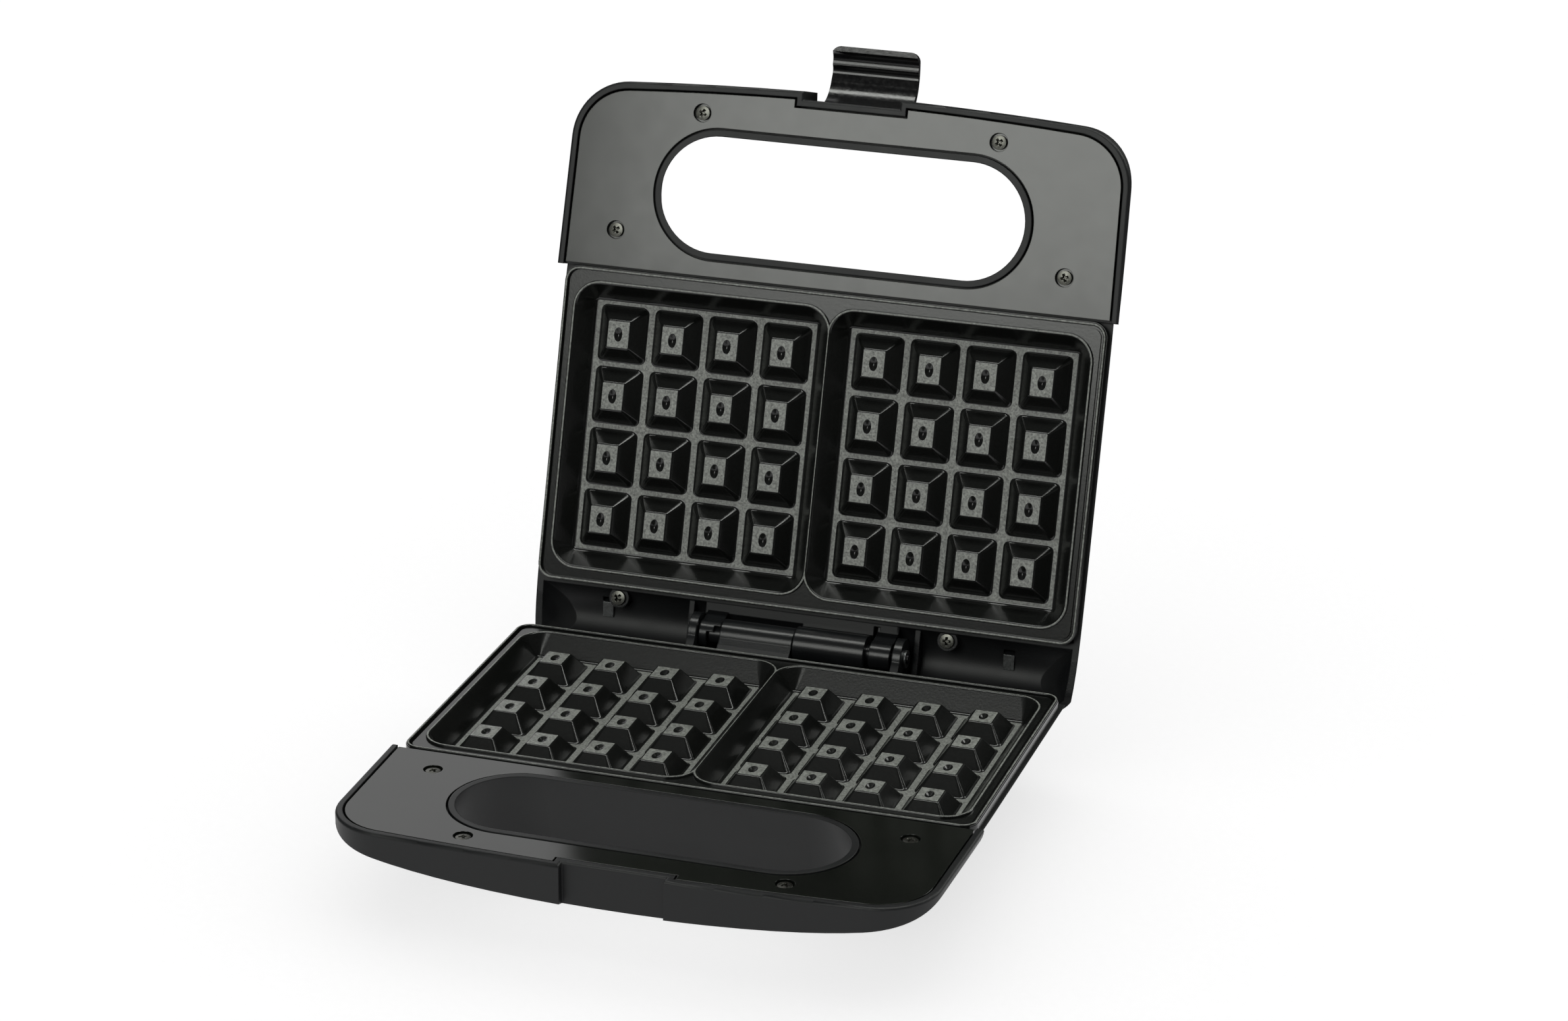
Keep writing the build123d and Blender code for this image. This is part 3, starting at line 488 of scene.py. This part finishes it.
def pyramid_mesh(sizes):
    """One closed pyramid: a foot that flows into the floor, a soft top edge and an oval pit."""
    base = (sizes.base_width / 2, sizes.base_length / 2)
    top = (sizes.top_width / 2, sizes.top_length / 2)
    run = base[0] - top[0]
    stretch = (base[1] - top[1]) / run
    height = sizes.pyramid_height
    foot_corner, top_corner, least_corner = 2.0 * MM, 0.75 * MM, 0.25 * MM
    foot_run, foot_rise, root = 0.75 * MM, 0.6 * MM, 0.4 * MM
    edge_drop, edge_run = 0.5 * MM, 0.45 * MM
    steps = 4

    def ring(offset, z):
        rise = min(max(z / height, 0), 1)
        corner = foot_corner * (1 - rise) + top_corner * rise
        corner = max(corner + min(offset + run * rise, foot_rise), least_corner)
        half = (base[0] + offset, base[1] + offset * stretch)
        return rounded_ring(half, corner, z, steps=steps)

    slope = Vector((run, height)).normalized()
    foot = eased(
        (foot_run, -0.03 * MM), (0, 0), tuple(foot_rise * Vector((-slope[0], slope[1])))
    )
    edge = eased(
        (-run + edge_drop * slope[0], height - edge_drop * slope[1]),
        (-run, height),
        (-run - edge_run, height),
    )
    rings = [ring(foot_run, -root)] + [ring(*place) for place in foot + edge]
    # The pit: each oval's share of its full size, and how far down it is as a share of the depth.
    pit = (sizes.dimple_width / 2, sizes.dimple_length / 2)
    for share, drop in ((1.1, 0), (1.0, 0.07), (0.88, 0.25), (0.45, 0.78), (0.2, 0.97), (0.06, 1)):
        half = [side * share for side in pit]
        rings.append(oval_ring(half, height - drop * sizes.dimple_depth, 4 * (steps + 1)))
    bm = bmesh.new()
    first, last = skin(bm, rings)
    bm.faces.new(first)
    bm.faces.new(last)
    bmesh.ops.recalc_face_normals(bm, faces=bm.faces)
    return plain_mesh("pyramid", bm)


def pyramid_tree():
    """Sets the pyramid out in the columns and rows of both cavities."""
    inputs = {
        "Columns": "Int",
        "Rows": "Int",
        "Column Pitch": "Float",
        "Row Pitch": "Float",
        "Cavity Offset": "Float",
        "Reach": "Float",
        "Floor Height": "Float",
        "Material": "Material",
    }
    tree, source = node_tree("pyramid_field", inputs)
    spans = []
    for count, pitch in (("Columns", "Column Pitch"), ("Rows", "Row Pitch")):
        gaps = add(tree, "ShaderNodeMath", {"operation": "SUBTRACT"}, _0=(source, count), _1=1.0)
        spans.append(
            add(
                tree,
                "ShaderNodeMath",
                {"operation": "MULTIPLY"},
                _0=(gaps, "Value"),
                _1=(source, pitch),
            )
        )
    grid = add(
        tree,
        "GeometryNodeMeshGrid",
        Size_X=(spans[0], "Value"),
        Size_Y=(spans[1], "Value"),
        Vertices_X=(source, "Columns"),
        Vertices_Y=(source, "Rows"),
    )
    ends = []
    for side in (-1.0, 1.0):
        middle = add(
            tree,
            "ShaderNodeCombineXYZ",
            X=(source, "Cavity Offset"),
            Y=(source, "Reach"),
            Z=(source, "Floor Height"),
        )
        ends.append(
            add(
                tree,
                "ShaderNodeVectorMath",
                {"operation": "MULTIPLY"},
                _0=(middle, "Vector"),
                _1=(side, -1.0, 1.0),
            )
        )
    middles = add(
        tree,
        "GeometryNodeMeshLine",
        {"mode": "END_POINTS"},
        Count=2,
        Start_Location=(ends[0], "Vector"),
        Offset=(ends[1], "Vector"),
    )
    fields = add(
        tree, "GeometryNodeInstanceOnPoints", Points=(middles, "Mesh"), Instance=(grid, "Mesh")
    )
    places = add(tree, "GeometryNodeRealizeInstances", Geometry=(fields, "Instances"))
    humps = add(
        tree,
        "GeometryNodeInstanceOnPoints",
        Points=(places, "Geometry"),
        Instance=(source, "Geometry"),
    )
    finish_tree(tree, (humps, "Instances"), source)
    return tree


def cavity_rings(sizes, plan):
    """The right cavity from its bead's foot to its floor, folded where it meets the left one."""
    bead, soft, run = sizes.bead_width, BEAD_ROUNDING, sizes.wall_run
    mouth_corner, floor_corner, least_corner = 10.0 * MM, 1.2 * MM, 0.4 * MM
    floor_rounding = 0.9 * MM
    slope = Vector((run, sizes.cavity_depth)).normalized()
    profile = [(bead, plan.flange)]
    profile += eased((bead, plan.crest - soft), (bead, plan.crest), (bead - soft, plan.crest))
    inner = Vector((0, plan.crest)) - soft * slope
    profile += eased((soft, plan.crest), (0, plan.crest), tuple(inner))
    low = Vector((-run, plan.floor))
    inwards = (-run - floor_rounding, plan.floor)
    profile += eased(tuple(low + floor_rounding * slope), tuple(low), inwards)
    rings = []
    for offset, z in profile:
        share = min(max(-offset / run, 0), 1)
        corner = mouth_corner * (1 - share) + floor_corner * share
        corner = max(corner + max(offset, 0) + min(offset + run, 0), least_corner)
        half = [side + offset for side in plan.mouth_half]
        points = rounded_ring(half, corner, z, (plan.cavity_middle, 0))
        if half[0] > plan.cavity_middle:
            centre = (plan.cavity_middle - half[0] + corner, half[1] - corner)
            meet = centre[1] + math.sqrt(corner**2 - centre[0] ** 2)
            points = [p if p[0] > 0 else (0, math.copysign(meet, p[1]), z) for p in points]
        rings.append(points)
    return rings


def tub_ring(sizes, plan, z):
    """The outside of the right tub under its cavity, at one height."""
    bottom_corner, corner_growth = 3.8 * MM, 8.8 * MM
    lean = sizes.wall_run / sizes.cavity_depth
    half = [side + CASTING_WALL + lean * (z - plan.floor) for side in plan.floor_half]
    share = (z - plan.tub_bottom) / (plan.crest + 1.0 * MM - plan.tub_bottom)
    return rounded_ring(half, bottom_corner + corner_growth * share, z, (plan.cavity_middle, 0))


def plate_body(sizes):
    """The cast plate without its pyramids: cavities, beads, groove, edge, tubs and posts."""
    plan = plate_plan(sizes)
    ledge, edge_corner, tub_chamfer = 0.2 * MM, 4.7 * MM, 1.0 * MM
    post_radius, post_spacing, post_root = 4.2 * MM, 21.0 * MM, 0.5 * MM
    bm = bmesh.new()
    for side in (-1, 1):
        mirrored = [[(side * x, y, z) for x, y, z in ring] for ring in cavity_rings(sizes, plan)]
        bm.faces.new(skin(bm, mirrored)[1])
        levels = (plan.underside, plan.tub_bottom + tub_chamfer, plan.tub_bottom)
        tub = [tub_ring(sizes, plan, z) for z in levels]
        mirrored = [[(side * x, y, z) for x, y, z in ring] for ring in tub]
        bm.faces.new(skin(bm, mirrored)[1])
    bmesh.ops.remove_doubles(bm, verts=bm.verts, dist=0.002 * MM)
    seam = [face for face in bm.faces if all(abs(v.co.x) < 0.001 * MM for v in face.verts)]
    bmesh.ops.delete(bm, geom=seam, context="FACES")

    bead, soft = sizes.bead_width, BEAD_ROUNDING
    profile = [(-sizes.groove_width, plan.flange)]
    profile += [(-sizes.groove_width, plan.flange - sizes.groove_depth)]
    profile += [(0, plan.flange - sizes.groove_depth)]
    profile += eased((0, plan.crest - soft), (0, plan.crest), (soft, plan.crest))
    profile += eased((bead - soft, plan.crest), (bead, plan.crest), (bead, plan.crest - soft))
    profile += [(bead, plan.flange)]
    profile += [(bead + ledge, plan.flange), (bead + ledge, plan.underside)]
    edge = [side - bead - ledge for side in plan.half]
    rings = [
        rounded_ring([side + offset for side in edge], edge_corner + offset, z)
        for offset, z in profile
    ]
    skin(bm, rings)
    fill_level(bm, plan.flange)
    fill_level(bm, plan.underside)
    for x in (-plan.cavity_middle, plan.cavity_middle):
        for y in (-post_spacing, post_spacing):
            ends = (plan.post_bottom, plan.tub_bottom + post_root)
            half, corner = (post_radius, post_radius), post_radius - 0.001 * MM
            post = [rounded_ring(half, corner, z, (x, y), 6) for z in ends]
            for loop in skin(bm, post):
                bm.faces.new(loop)
    bmesh.ops.translate(bm, vec=(0, -plan.reach, 0), verts=bm.verts)
    return bm, plan


def mark_level_and_crest_sheen(bm, plan):
    """Marks the floors and the pyramids' tops, which are rougher and painted grey as a painted
    reflection of the lamps, and the beads' crests, painted grey as thin painted highlight lines."""
    near, crest_depth, crest_painted_highlight = 0.01 * MM, 0.05 * MM, 0.9
    level = bm.faces.layers.float.new("level")
    for face in bm.faces:
        heights = [vertex.co.z for vertex in face.verts]
        flat = max(heights) - min(heights) < near
        face[level] = float(flat and min(abs(heights[0] - z) for z in plan.levels) < near)
        # Painted highlight: the crests take most of the grey, which draws bright lines along the beads.
        if min(heights) > plan.crest - crest_depth:
            face[level] = crest_painted_highlight


class BuildPlates(bpy.types.Operator):
    """Cast the two cooking plates with their cavities, beads and pyramids"""

    bl_idname = "waffle.build_plates"
    bl_label = "Build Plates"

    def execute(self, context):
        sizes = context.scene.waffle_plates
        tree = pyramid_tree()
        for body, node in (("base", "lower_plate"), ("lid", "upper_plate")):
            bm, plan = plate_body(sizes)
            values = {
                "Columns": sizes.columns,
                "Rows": sizes.rows,
                "Column Pitch": sizes.column_pitch,
                "Row Pitch": sizes.row_pitch,
                "Cavity Offset": plan.cavity_middle,
                "Reach": plan.reach,
                "Floor Height": plan.floor,
                "Material": finish("nonstick_plate"),
            }
            bm.from_mesh(grown(pyramid_mesh(sizes), tree, values))
            mark_level_and_crest_sheen(bm, plan)
            bm.transform(half_place(body))
            weigh_normals(make_piece(node + "_casting", bm, "nonstick_plate", body, node))
        return {"FINISHED"}


# Screws


class ScrewSizes(bpy.types.PropertyGroup):
    """Sizes of the cross-head screws"""

    head_radius: length("Head Radius", "Radius of the pan head", 2.9)
    head_height: length("Head Height", "Height of the pan head's crown", 1.6)
    crown_radius: length("Crown Radius", "Radius of the head's domed top", 16.9)
    cross_length: length("Cross Length", "Length of the cross recess", 4.1)
    cross_width: length("Cross Width", "Width of one arm of the recess", 1.25)
    cross_depth: length("Cross Depth", "Depth of the recess", 1.3)
    shank_radius: length("Shank Radius", "Radius of the threaded shank", 1.4)
    shank_length: length("Shank Length", "Length below the head", 9.0)
    seed: IntProperty(
        name="Seed", description="How far each screw happens to be turned", default=3
    )


def screw_tree():
    """Stands a cross-head screw on each point, its crown at the point, each turned its own way."""
    inputs = {
        "Head Radius": "Float",
        "Head Height": "Float",
        "Crown Radius": "Float",
        "Cross Length": "Float",
        "Cross Width": "Float",
        "Cross Depth": "Float",
        "Shank Radius": "Float",
        "Shank Length": "Float",
        "Seed": "Int",
        "Material": "Material",
    }
    tree, source = node_tree("cross_head_screws", inputs)

    def lowered(shape, size, share, further=0.0):
        """Moves a shape down by a share of one of the sizes, and further by another value."""
        drop = add(
            tree,
            "ShaderNodeMath",
            {"operation": "MULTIPLY_ADD"},
            _0=(source, size),
            _1=-share,
            _2=further,
        )
        way = add(tree, "ShaderNodeCombineXYZ", Z=(drop, "Value"))
        return add(
            tree, "GeometryNodeTransform", Geometry=(shape, "Mesh"), Translation=(way, "Vector")
        )

    blank = add(
        tree,
        "GeometryNodeMeshCylinder",
        Vertices=40,
        Radius=(source, "Head Radius"),
        Depth=(source, "Head Height"),
    )
    head = lowered(blank, "Head Height", 0.5)
    ball = add(
        tree, "GeometryNodeMeshUVSphere", Segments=40, Rings=48, Radius=(source, "Crown Radius")
    )
    dome = lowered(ball, "Crown Radius", 1.0)
    crown = add(tree, "GeometryNodeMeshBoolean", {"operation": "INTERSECT"})
    tree.links.new(head.outputs["Geometry"], crown.inputs["Mesh 2"])
    tree.links.new(dome.outputs["Geometry"], crown.inputs["Mesh 2"])

    # A four sided cone on its point, stretched both ways, is one tapered arm pair of the recess.
    taper = 0.35  # width of the cone's bottom as a share of its top
    standing = 1.25  # the cone's height in depths of the recess, so that it cuts through the crown
    cone = add(
        tree,
        "GeometryNodeMeshCone",
        Vertices=4,
        Radius_Top=math.sqrt(0.5),
        Radius_Bottom=math.sqrt(0.5) * taper,
        Depth=standing,
    )
    size = add(
        tree,
        "ShaderNodeCombineXYZ",
        X=(source, "Cross Length"),
        Y=(source, "Cross Width"),
        Z=(source, "Cross Depth"),
    )
    square = add(
        tree,
        "GeometryNodeTransform",
        Geometry=(cone, "Mesh"),
        Rotation=(0.0, 0.0, math.radians(45)),
    )
    # One arm pair is a touch shallower, so that no two faces of the cut lie in one plane.
    arms = []
    for turn, depth in ((0.0, 1.0), (math.radians(90), 0.97)):
        bottom = add(
            tree,
            "ShaderNodeVectorMath",
            {"operation": "MULTIPLY"},
            _0=(size, "Vector"),
            _1=(0.0, 0.0, -depth),
        )
        arms.append(
            add(
                tree,
                "GeometryNodeTransform",
                Geometry=(square, "Geometry"),
                Translation=(bottom, "Vector"),
                Rotation=(0.0, 0.0, turn),
                Scale=(size, "Vector"),
            )
        )
    cut = add(tree, "GeometryNodeMeshBoolean", {"operation": "DIFFERENCE"})
    tree.links.new(crown.outputs["Mesh"], cut.inputs["Mesh 1"])
    for arm in arms:
        tree.links.new(arm.outputs["Geometry"], cut.inputs["Mesh 2"])

    rod = add(
        tree,
        "GeometryNodeMeshCylinder",
        Vertices=24,
        Radius=(source, "Shank Radius"),
        Depth=(source, "Shank Length"),
    )
    under = add(
        tree, "ShaderNodeMath", {"operation": "MULTIPLY"}, _0=(source, "Head Height"), _1=-1.0
    )
    shank = lowered(rod, "Shank Length", 0.5, (under, "Value"))
    whole = add(tree, "GeometryNodeJoinGeometry")
    tree.links.new(cut.outputs["Mesh"], whole.inputs["Geometry"])
    tree.links.new(shank.outputs["Geometry"], whole.inputs["Geometry"])

    angle = add(
        tree,
        "FunctionNodeRandomValue",
        {"data_type": "FLOAT"},
        _2=0.0,
        _3=math.tau,
        Seed=(source, "Seed"),
    )
    turned = add(tree, "ShaderNodeCombineXYZ")
    tree.links.new(angle.outputs[1], turned.inputs["Z"])
    screws = add(
        tree,
        "GeometryNodeInstanceOnPoints",
        Points=(source, "Geometry"),
        Instance=(whole, "Geometry"),
        Rotation=(turned, "Vector"),
    )
    finish_tree(tree, (screws, "Instances"), source)
    return tree


def screw_places(body, node):
    """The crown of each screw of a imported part, in its half's drawing."""
    apart = 8 * MM  # wider than one screw, and less than the way to the next
    drawing = half_place(body).inverted()
    groups = []
    for vertex in frame["nodes"][node].data.vertices:
        place = drawing @ vertex.co
        same = [group for group in groups if (group[0].xy - place.xy).length < apart]
        if same:
            same[0].append(place)
        else:
            groups.append([place])
    places = []
    for group in groups:
        low = [min(place[axis] for place in group) for axis in range(3)]
        high = [max(place[axis] for place in group) for axis in range(3)]
        places.append(((low[0] + high[0]) / 2, (low[1] + high[1]) / 2, high[2]))
    return places


class DriveScrews(bpy.types.Operator):
    """Put cross-head screws in the handle panels and the hinge recess"""

    bl_idname = "waffle.drive_screws"
    bl_label = "Drive Screws"

    def execute(self, context):
        sizes = context.scene.waffle_screws
        tree = screw_tree()
        values = {
            "Head Radius": sizes.head_radius,
            "Head Height": sizes.head_height,
            "Crown Radius": sizes.crown_radius,
            "Cross Length": sizes.cross_length,
            "Cross Width": sizes.cross_width,
            "Cross Depth": sizes.cross_depth,
            "Shank Radius": sizes.shank_radius,
            "Shank Length": sizes.shank_length,
            "Seed": sizes.seed,
            "Material": finish("screw_steel"),
        }
        sets = {
            "base": ("lower_panel_screws",),
            "lid": ("upper_panel_screws", "lid_recess_screws"),
        }
        for body, nodes in sets.items():
            crowns = [place for node in nodes for place in screw_places(body, node)]
            points = bpy.data.meshes.new("screw_places")
            points.from_pydata(crowns, [], [])
            bm = bmesh.new()
            bm.from_mesh(grown(points, tree, values))
            bm.transform(half_place(body))
            weigh_normals(make_piece(body + "_screws", bm, "screw_steel", body, *nodes))
        return {"FINISHED"}


# Latch


class LatchSizes(bpy.types.PropertyGroup):
    """Sizes of the snap latch"""

    edge_radius: length("Edge Radius", "Rounding of the latch's moulded edges", 0.45)


class ShapeLatch(bpy.types.Operator):
    """Round the moulded edges of the snap latch"""

    bl_idname = "waffle.shape_latch"
    bl_label = "Shape Latch"

    def execute(self, context):
        bm = bmesh.new()
        bm.from_mesh(frame["nodes"]["latch"].data)
        bmesh.ops.remove_doubles(bm, verts=bm.verts, dist=0.01 * MM)
        bmesh.ops.dissolve_limit(
            bm, angle_limit=math.radians(1), verts=bm.verts, edges=bm.edges
        )
        latch = make_piece("snap_latch", bm, "latch_plastic", "latch", "latch", crease=30)
        rounding = latch.modifiers.new("moulded_edges", "BEVEL")
        rounding.width = context.scene.waffle_latch.edge_radius
        rounding.segments = 3
        rounding.limit_method = "ANGLE"
        rounding.angle_limit = math.radians(35)
        rounding.use_clamp_overlap = True
        weigh_normals(latch)
        return {"FINISHED"}


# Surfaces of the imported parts


class FinishParts(bpy.types.Operator):
    """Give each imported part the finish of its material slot"""

    bl_idname = "waffle.finish_parts"
    bl_label = "Finish Parts"

    def execute(self, context):
        for entry in frame["record"]["subparts"]:
            mesh = frame["nodes"][entry["node"]].data
            mesh.materials.clear()
            mesh.materials.append(finish(entry["material_slot"]))
        return {"FINISHED"}


# Studio


class StudioSettings(bpy.types.PropertyGroup):
    """Where the camera stands"""

    azimuth: FloatProperty(
        name="Azimuth",
        description="Camera angle round the machine from straight in front",
        default=math.radians(17.589),
        subtype="ANGLE",
    )
    elevation: FloatProperty(
        name="Elevation",
        description="Camera angle above the table",
        default=math.radians(21.348),
        subtype="ANGLE",
    )
    roll: FloatProperty(
        name="Roll",
        description="Camera turn about its own axis",
        default=math.radians(0.552),
        subtype="ANGLE",
    )
    distance: FloatProperty(
        name="Distance",
        description="Camera distance from the point it aims at",
        default=1.8,
        unit="LENGTH",
    )
    aim: FloatVectorProperty(
        name="Aim",
        description="Point in the middle of the picture",
        default=(-0.01145, 0.07702, 0.09163),
        subtype="TRANSLATION",
    )
    lens: FloatProperty(
        name="Lens", description="Focal length in mm on a 36 mm sensor", default=103.44
    )


def white_to_view(tree):
    """One where the camera, a mirror or glass looks at a surface, else zero."""
    path = add(tree, "ShaderNodeLightPath")
    gloss = add(
        tree,
        "ShaderNodeMath",
        {"operation": "MAXIMUM"},
        _0=(path, "Is Camera Ray"),
        _1=(path, "Is Glossy Ray"),
    )
    return add(
        tree,
        "ShaderNodeMath",
        {"operation": "MAXIMUM"},
        _0=(gloss, "Value"),
        _1=(path, "Is Transmission Ray"),
    )


def studio_world():
    """A soft even world that looks white to the camera and in reflections."""
    world = bpy.data.worlds.new("studio")
    world.use_nodes = True
    tree = world.node_tree
    tree.nodes.clear()
    seen = white_to_view(tree)
    level = add(tree, "ShaderNodeMapRange", Value=(seen, "Value"), To_Min=0.4, To_Max=1.0)
    sky = add(tree, "ShaderNodeBackground", Color=(1, 1, 1, 1), Strength=(level, "Result"))
    add(tree, "ShaderNodeOutputWorld", Surface=(sky, "Background"))
    bpy.context.scene.world = world


LAMP_COLOUR = (0.98, 1.0, 0.955)


def area_lamp(name, place, target, width, height, power):
    """A rectangular soft lamp that faces a point."""
    data = bpy.data.lights.new(name, "AREA")
    data.shape = "RECTANGLE"
    data.size = width
    data.size_y = height
    data.energy = power
    data.color = LAMP_COLOUR
    lamp = bpy.data.objects.new(name, data)
    lamp.location = place
    lamp.rotation_mode = "QUATERNION"
    lamp.rotation_quaternion = (Vector(target) - Vector(place)).to_track_quat("-Z", "Y")
    bpy.context.scene.collection.objects.link(lamp)
    return lamp


def spare_table(lamps, table):
    """Keeps the lamps off the table, which the world alone lights, so its shadow is soft."""
    spared = bpy.data.collections.new("spared_by_lamps")
    spared.objects.link(table)
    for lamp in lamps:
        lamp.light_linking.receiver_collection = spared
    spared.collection_objects[0].light_linking.link_state = "EXCLUDE"


def reflection_tent():
    """Dark cloth round the set, open at the back left, which only reflections see. Its dim grey is painted as a
    glow, not lit by the lamps.
    """
    left, right, front, back, top = -0.9, 1.4, -2.6, 1.2, 2.05
    gap_side, gap_back = -0.48, 0.75  # where the back and the left cloth end at the opening
    rear, low = 0.25, 1 * MM  # a last cloth lies on the table behind the machine
    sheets = (
        ((left, front, 0), (left, gap_back, 0), (left, gap_back, top), (left, front, top)),
        ((right, front, 0), (right, back, 0), (right, back, top), (right, front, top)),
        ((left, front, 0), (right, front, 0), (right, front, top), (left, front, top)),
        ((gap_side, back, 0), (right, back, 0), (right, back, top), (gap_side, back, top)),
        ((left, front, top), (right, front, top), (right, back, top), (left, back, top)),
        ((left, rear, low), (right, rear, low), (right, back, low), (left, back, low)),
    )
    bm = bmesh.new()
    for corners in sheets:
        bm.faces.new([bm.verts.new(corner) for corner in corners])
    tent = bpy.data.objects.new("reflection_tent", plain_mesh("reflection_tent", bm))
    bpy.context.scene.collection.objects.link(tent)
    material, tree, shader = new_material("dim_glowing_cloth")
    # Painted glow: the cloth's grey is emitted rather than lit.
    vary(tree, shader, "Emission Color", 300, linear("#333333"), linear("#404040"))
    shader.inputs["Base Color"].default_value = (0, 0, 0, 1)
    shader.inputs["Specular IOR Level"].default_value = 0.0
    shader.inputs["Emission Strength"].default_value = 1.0
    tent.data.materials.append(material)
    tent.visible_camera = False
    tent.visible_diffuse = False
    tent.visible_transmission = False
    tent.visible_shadow = False


def camera(settings):
    """The camera at the photograph's angle."""
    a, e = settings.azimuth, settings.elevation
    back = Vector((math.sin(a) * math.cos(e), -math.cos(a) * math.cos(e), math.sin(e)))
    data = bpy.data.cameras.new("camera")
    data.sensor_width = 36
    data.lens = settings.lens
    data.clip_start, data.clip_end = 0.05, 50
    eye = bpy.data.objects.new("camera", data)
    eye.location = Vector(settings.aim) + back * settings.distance
    eye.rotation_mode = "QUATERNION"
    turn = Quaternion((0, 0, 1), settings.roll)
    eye.rotation_quaternion = (-back).to_track_quat("-Z", "Y") @ turn
    bpy.context.scene.collection.objects.link(eye)
    bpy.context.scene.camera = eye


def table_material():
    """White card whose far parts melt into the background, while it still takes a shadow."""
    material, tree, shader = new_material("white_card")
    vary(tree, shader, "Base Color", 3, linear("#f4f4f4"), linear("#fafafa"))
    shader.inputs["Roughness"].default_value = 0.9
    shader.inputs["Specular IOR Level"].default_value = 0.1
    shader.inputs["Emission Color"].default_value = (1, 1, 1, 1)
    seen = white_to_view(tree)
    level = add(tree, "ShaderNodeMath", {"operation": "MULTIPLY"}, _0=(seen, "Value"), _1=0.65)
    tree.links.new(level.outputs["Value"], shader.inputs["Emission Strength"])
    return material


class BuildStudio(bpy.types.Operator):
    """Set up the white table, the soft lamps and the camera"""

    bl_idname = "waffle.build_studio"
    bl_label = "Build Studio"

    def execute(self, context):
        settings = context.scene.waffle_studio
        bm = bmesh.new()
        bmesh.ops.create_grid(bm, x_segments=1, y_segments=1, size=6)
        table = bpy.data.objects.new("table", plain_mesh("table", bm))
        context.scene.collection.objects.link(table)
        table.data.materials.append(table_material())
        studio_world()
        lamps = (
            area_lamp("front_softbox", (-0.66, -2.05, 1.28), (-0.66, 0, 1.28), 1.35, 1.16, 27),
            area_lamp("overhead_strip", (0.28, 0, 1.75), (0.28, 0, 0), 1.95, 0.34, 20),
            area_lamp("back_fill", (0.75, 1.1, 0.85), (0, 0.1, 0.12), 0.8, 0.7, 8),
        )
        spare_table(lamps, table)
        reflection_tent()
        camera(settings)
        context.scene.view_settings.view_transform = "Standard"
        return {"FINISHED"}


class StudioPanel(bpy.types.Panel):
    """Lists the steps and the sizes and colours they use"""

    bl_idname = "WAFFLE_PT_steps"
    bl_label = "Waffle Maker"
    bl_space_type = "VIEW_3D"
    bl_region_type = "UI"
    bl_category = "Waffle Maker"

    def draw(self, context):
        for step in STEPS:
            self.layout.operator(step.bl_idname)
        for label in SETTINGS:
            box = self.layout.box()
            settings = getattr(context.scene, label)
            for name in settings.__annotations__:
                box.prop(settings, name)


SETTINGS = {
    "waffle_colours": SurfaceColours,
    "waffle_plates": PlateSizes,
    "waffle_screws": ScrewSizes,
    "waffle_latch": LatchSizes,
    "waffle_studio": StudioSettings,
}
STEPS = (FinishParts, BuildPlates, DriveScrews, ShapeLatch, BuildStudio)
CLASSES = (*SETTINGS.values(), *STEPS, StudioPanel)


def register():
    for item in CLASSES:
        bpy.utils.register_class(item)
    for label, settings in SETTINGS.items():
        setattr(bpy.types.Scene, label, PointerProperty(type=settings))


def unregister():
    for label in SETTINGS:
        delattr(bpy.types.Scene, label)
    for item in reversed(CLASSES):
        bpy.utils.unregister_class(item)


def main():
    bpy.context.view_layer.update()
    register()
    bpy.ops.waffle.finish_parts()
    bpy.ops.waffle.build_plates()
    bpy.ops.waffle.drive_screws()
    bpy.ops.waffle.shape_latch()
    bpy.ops.waffle.build_studio()


if __name__ == "__main__":
    main()
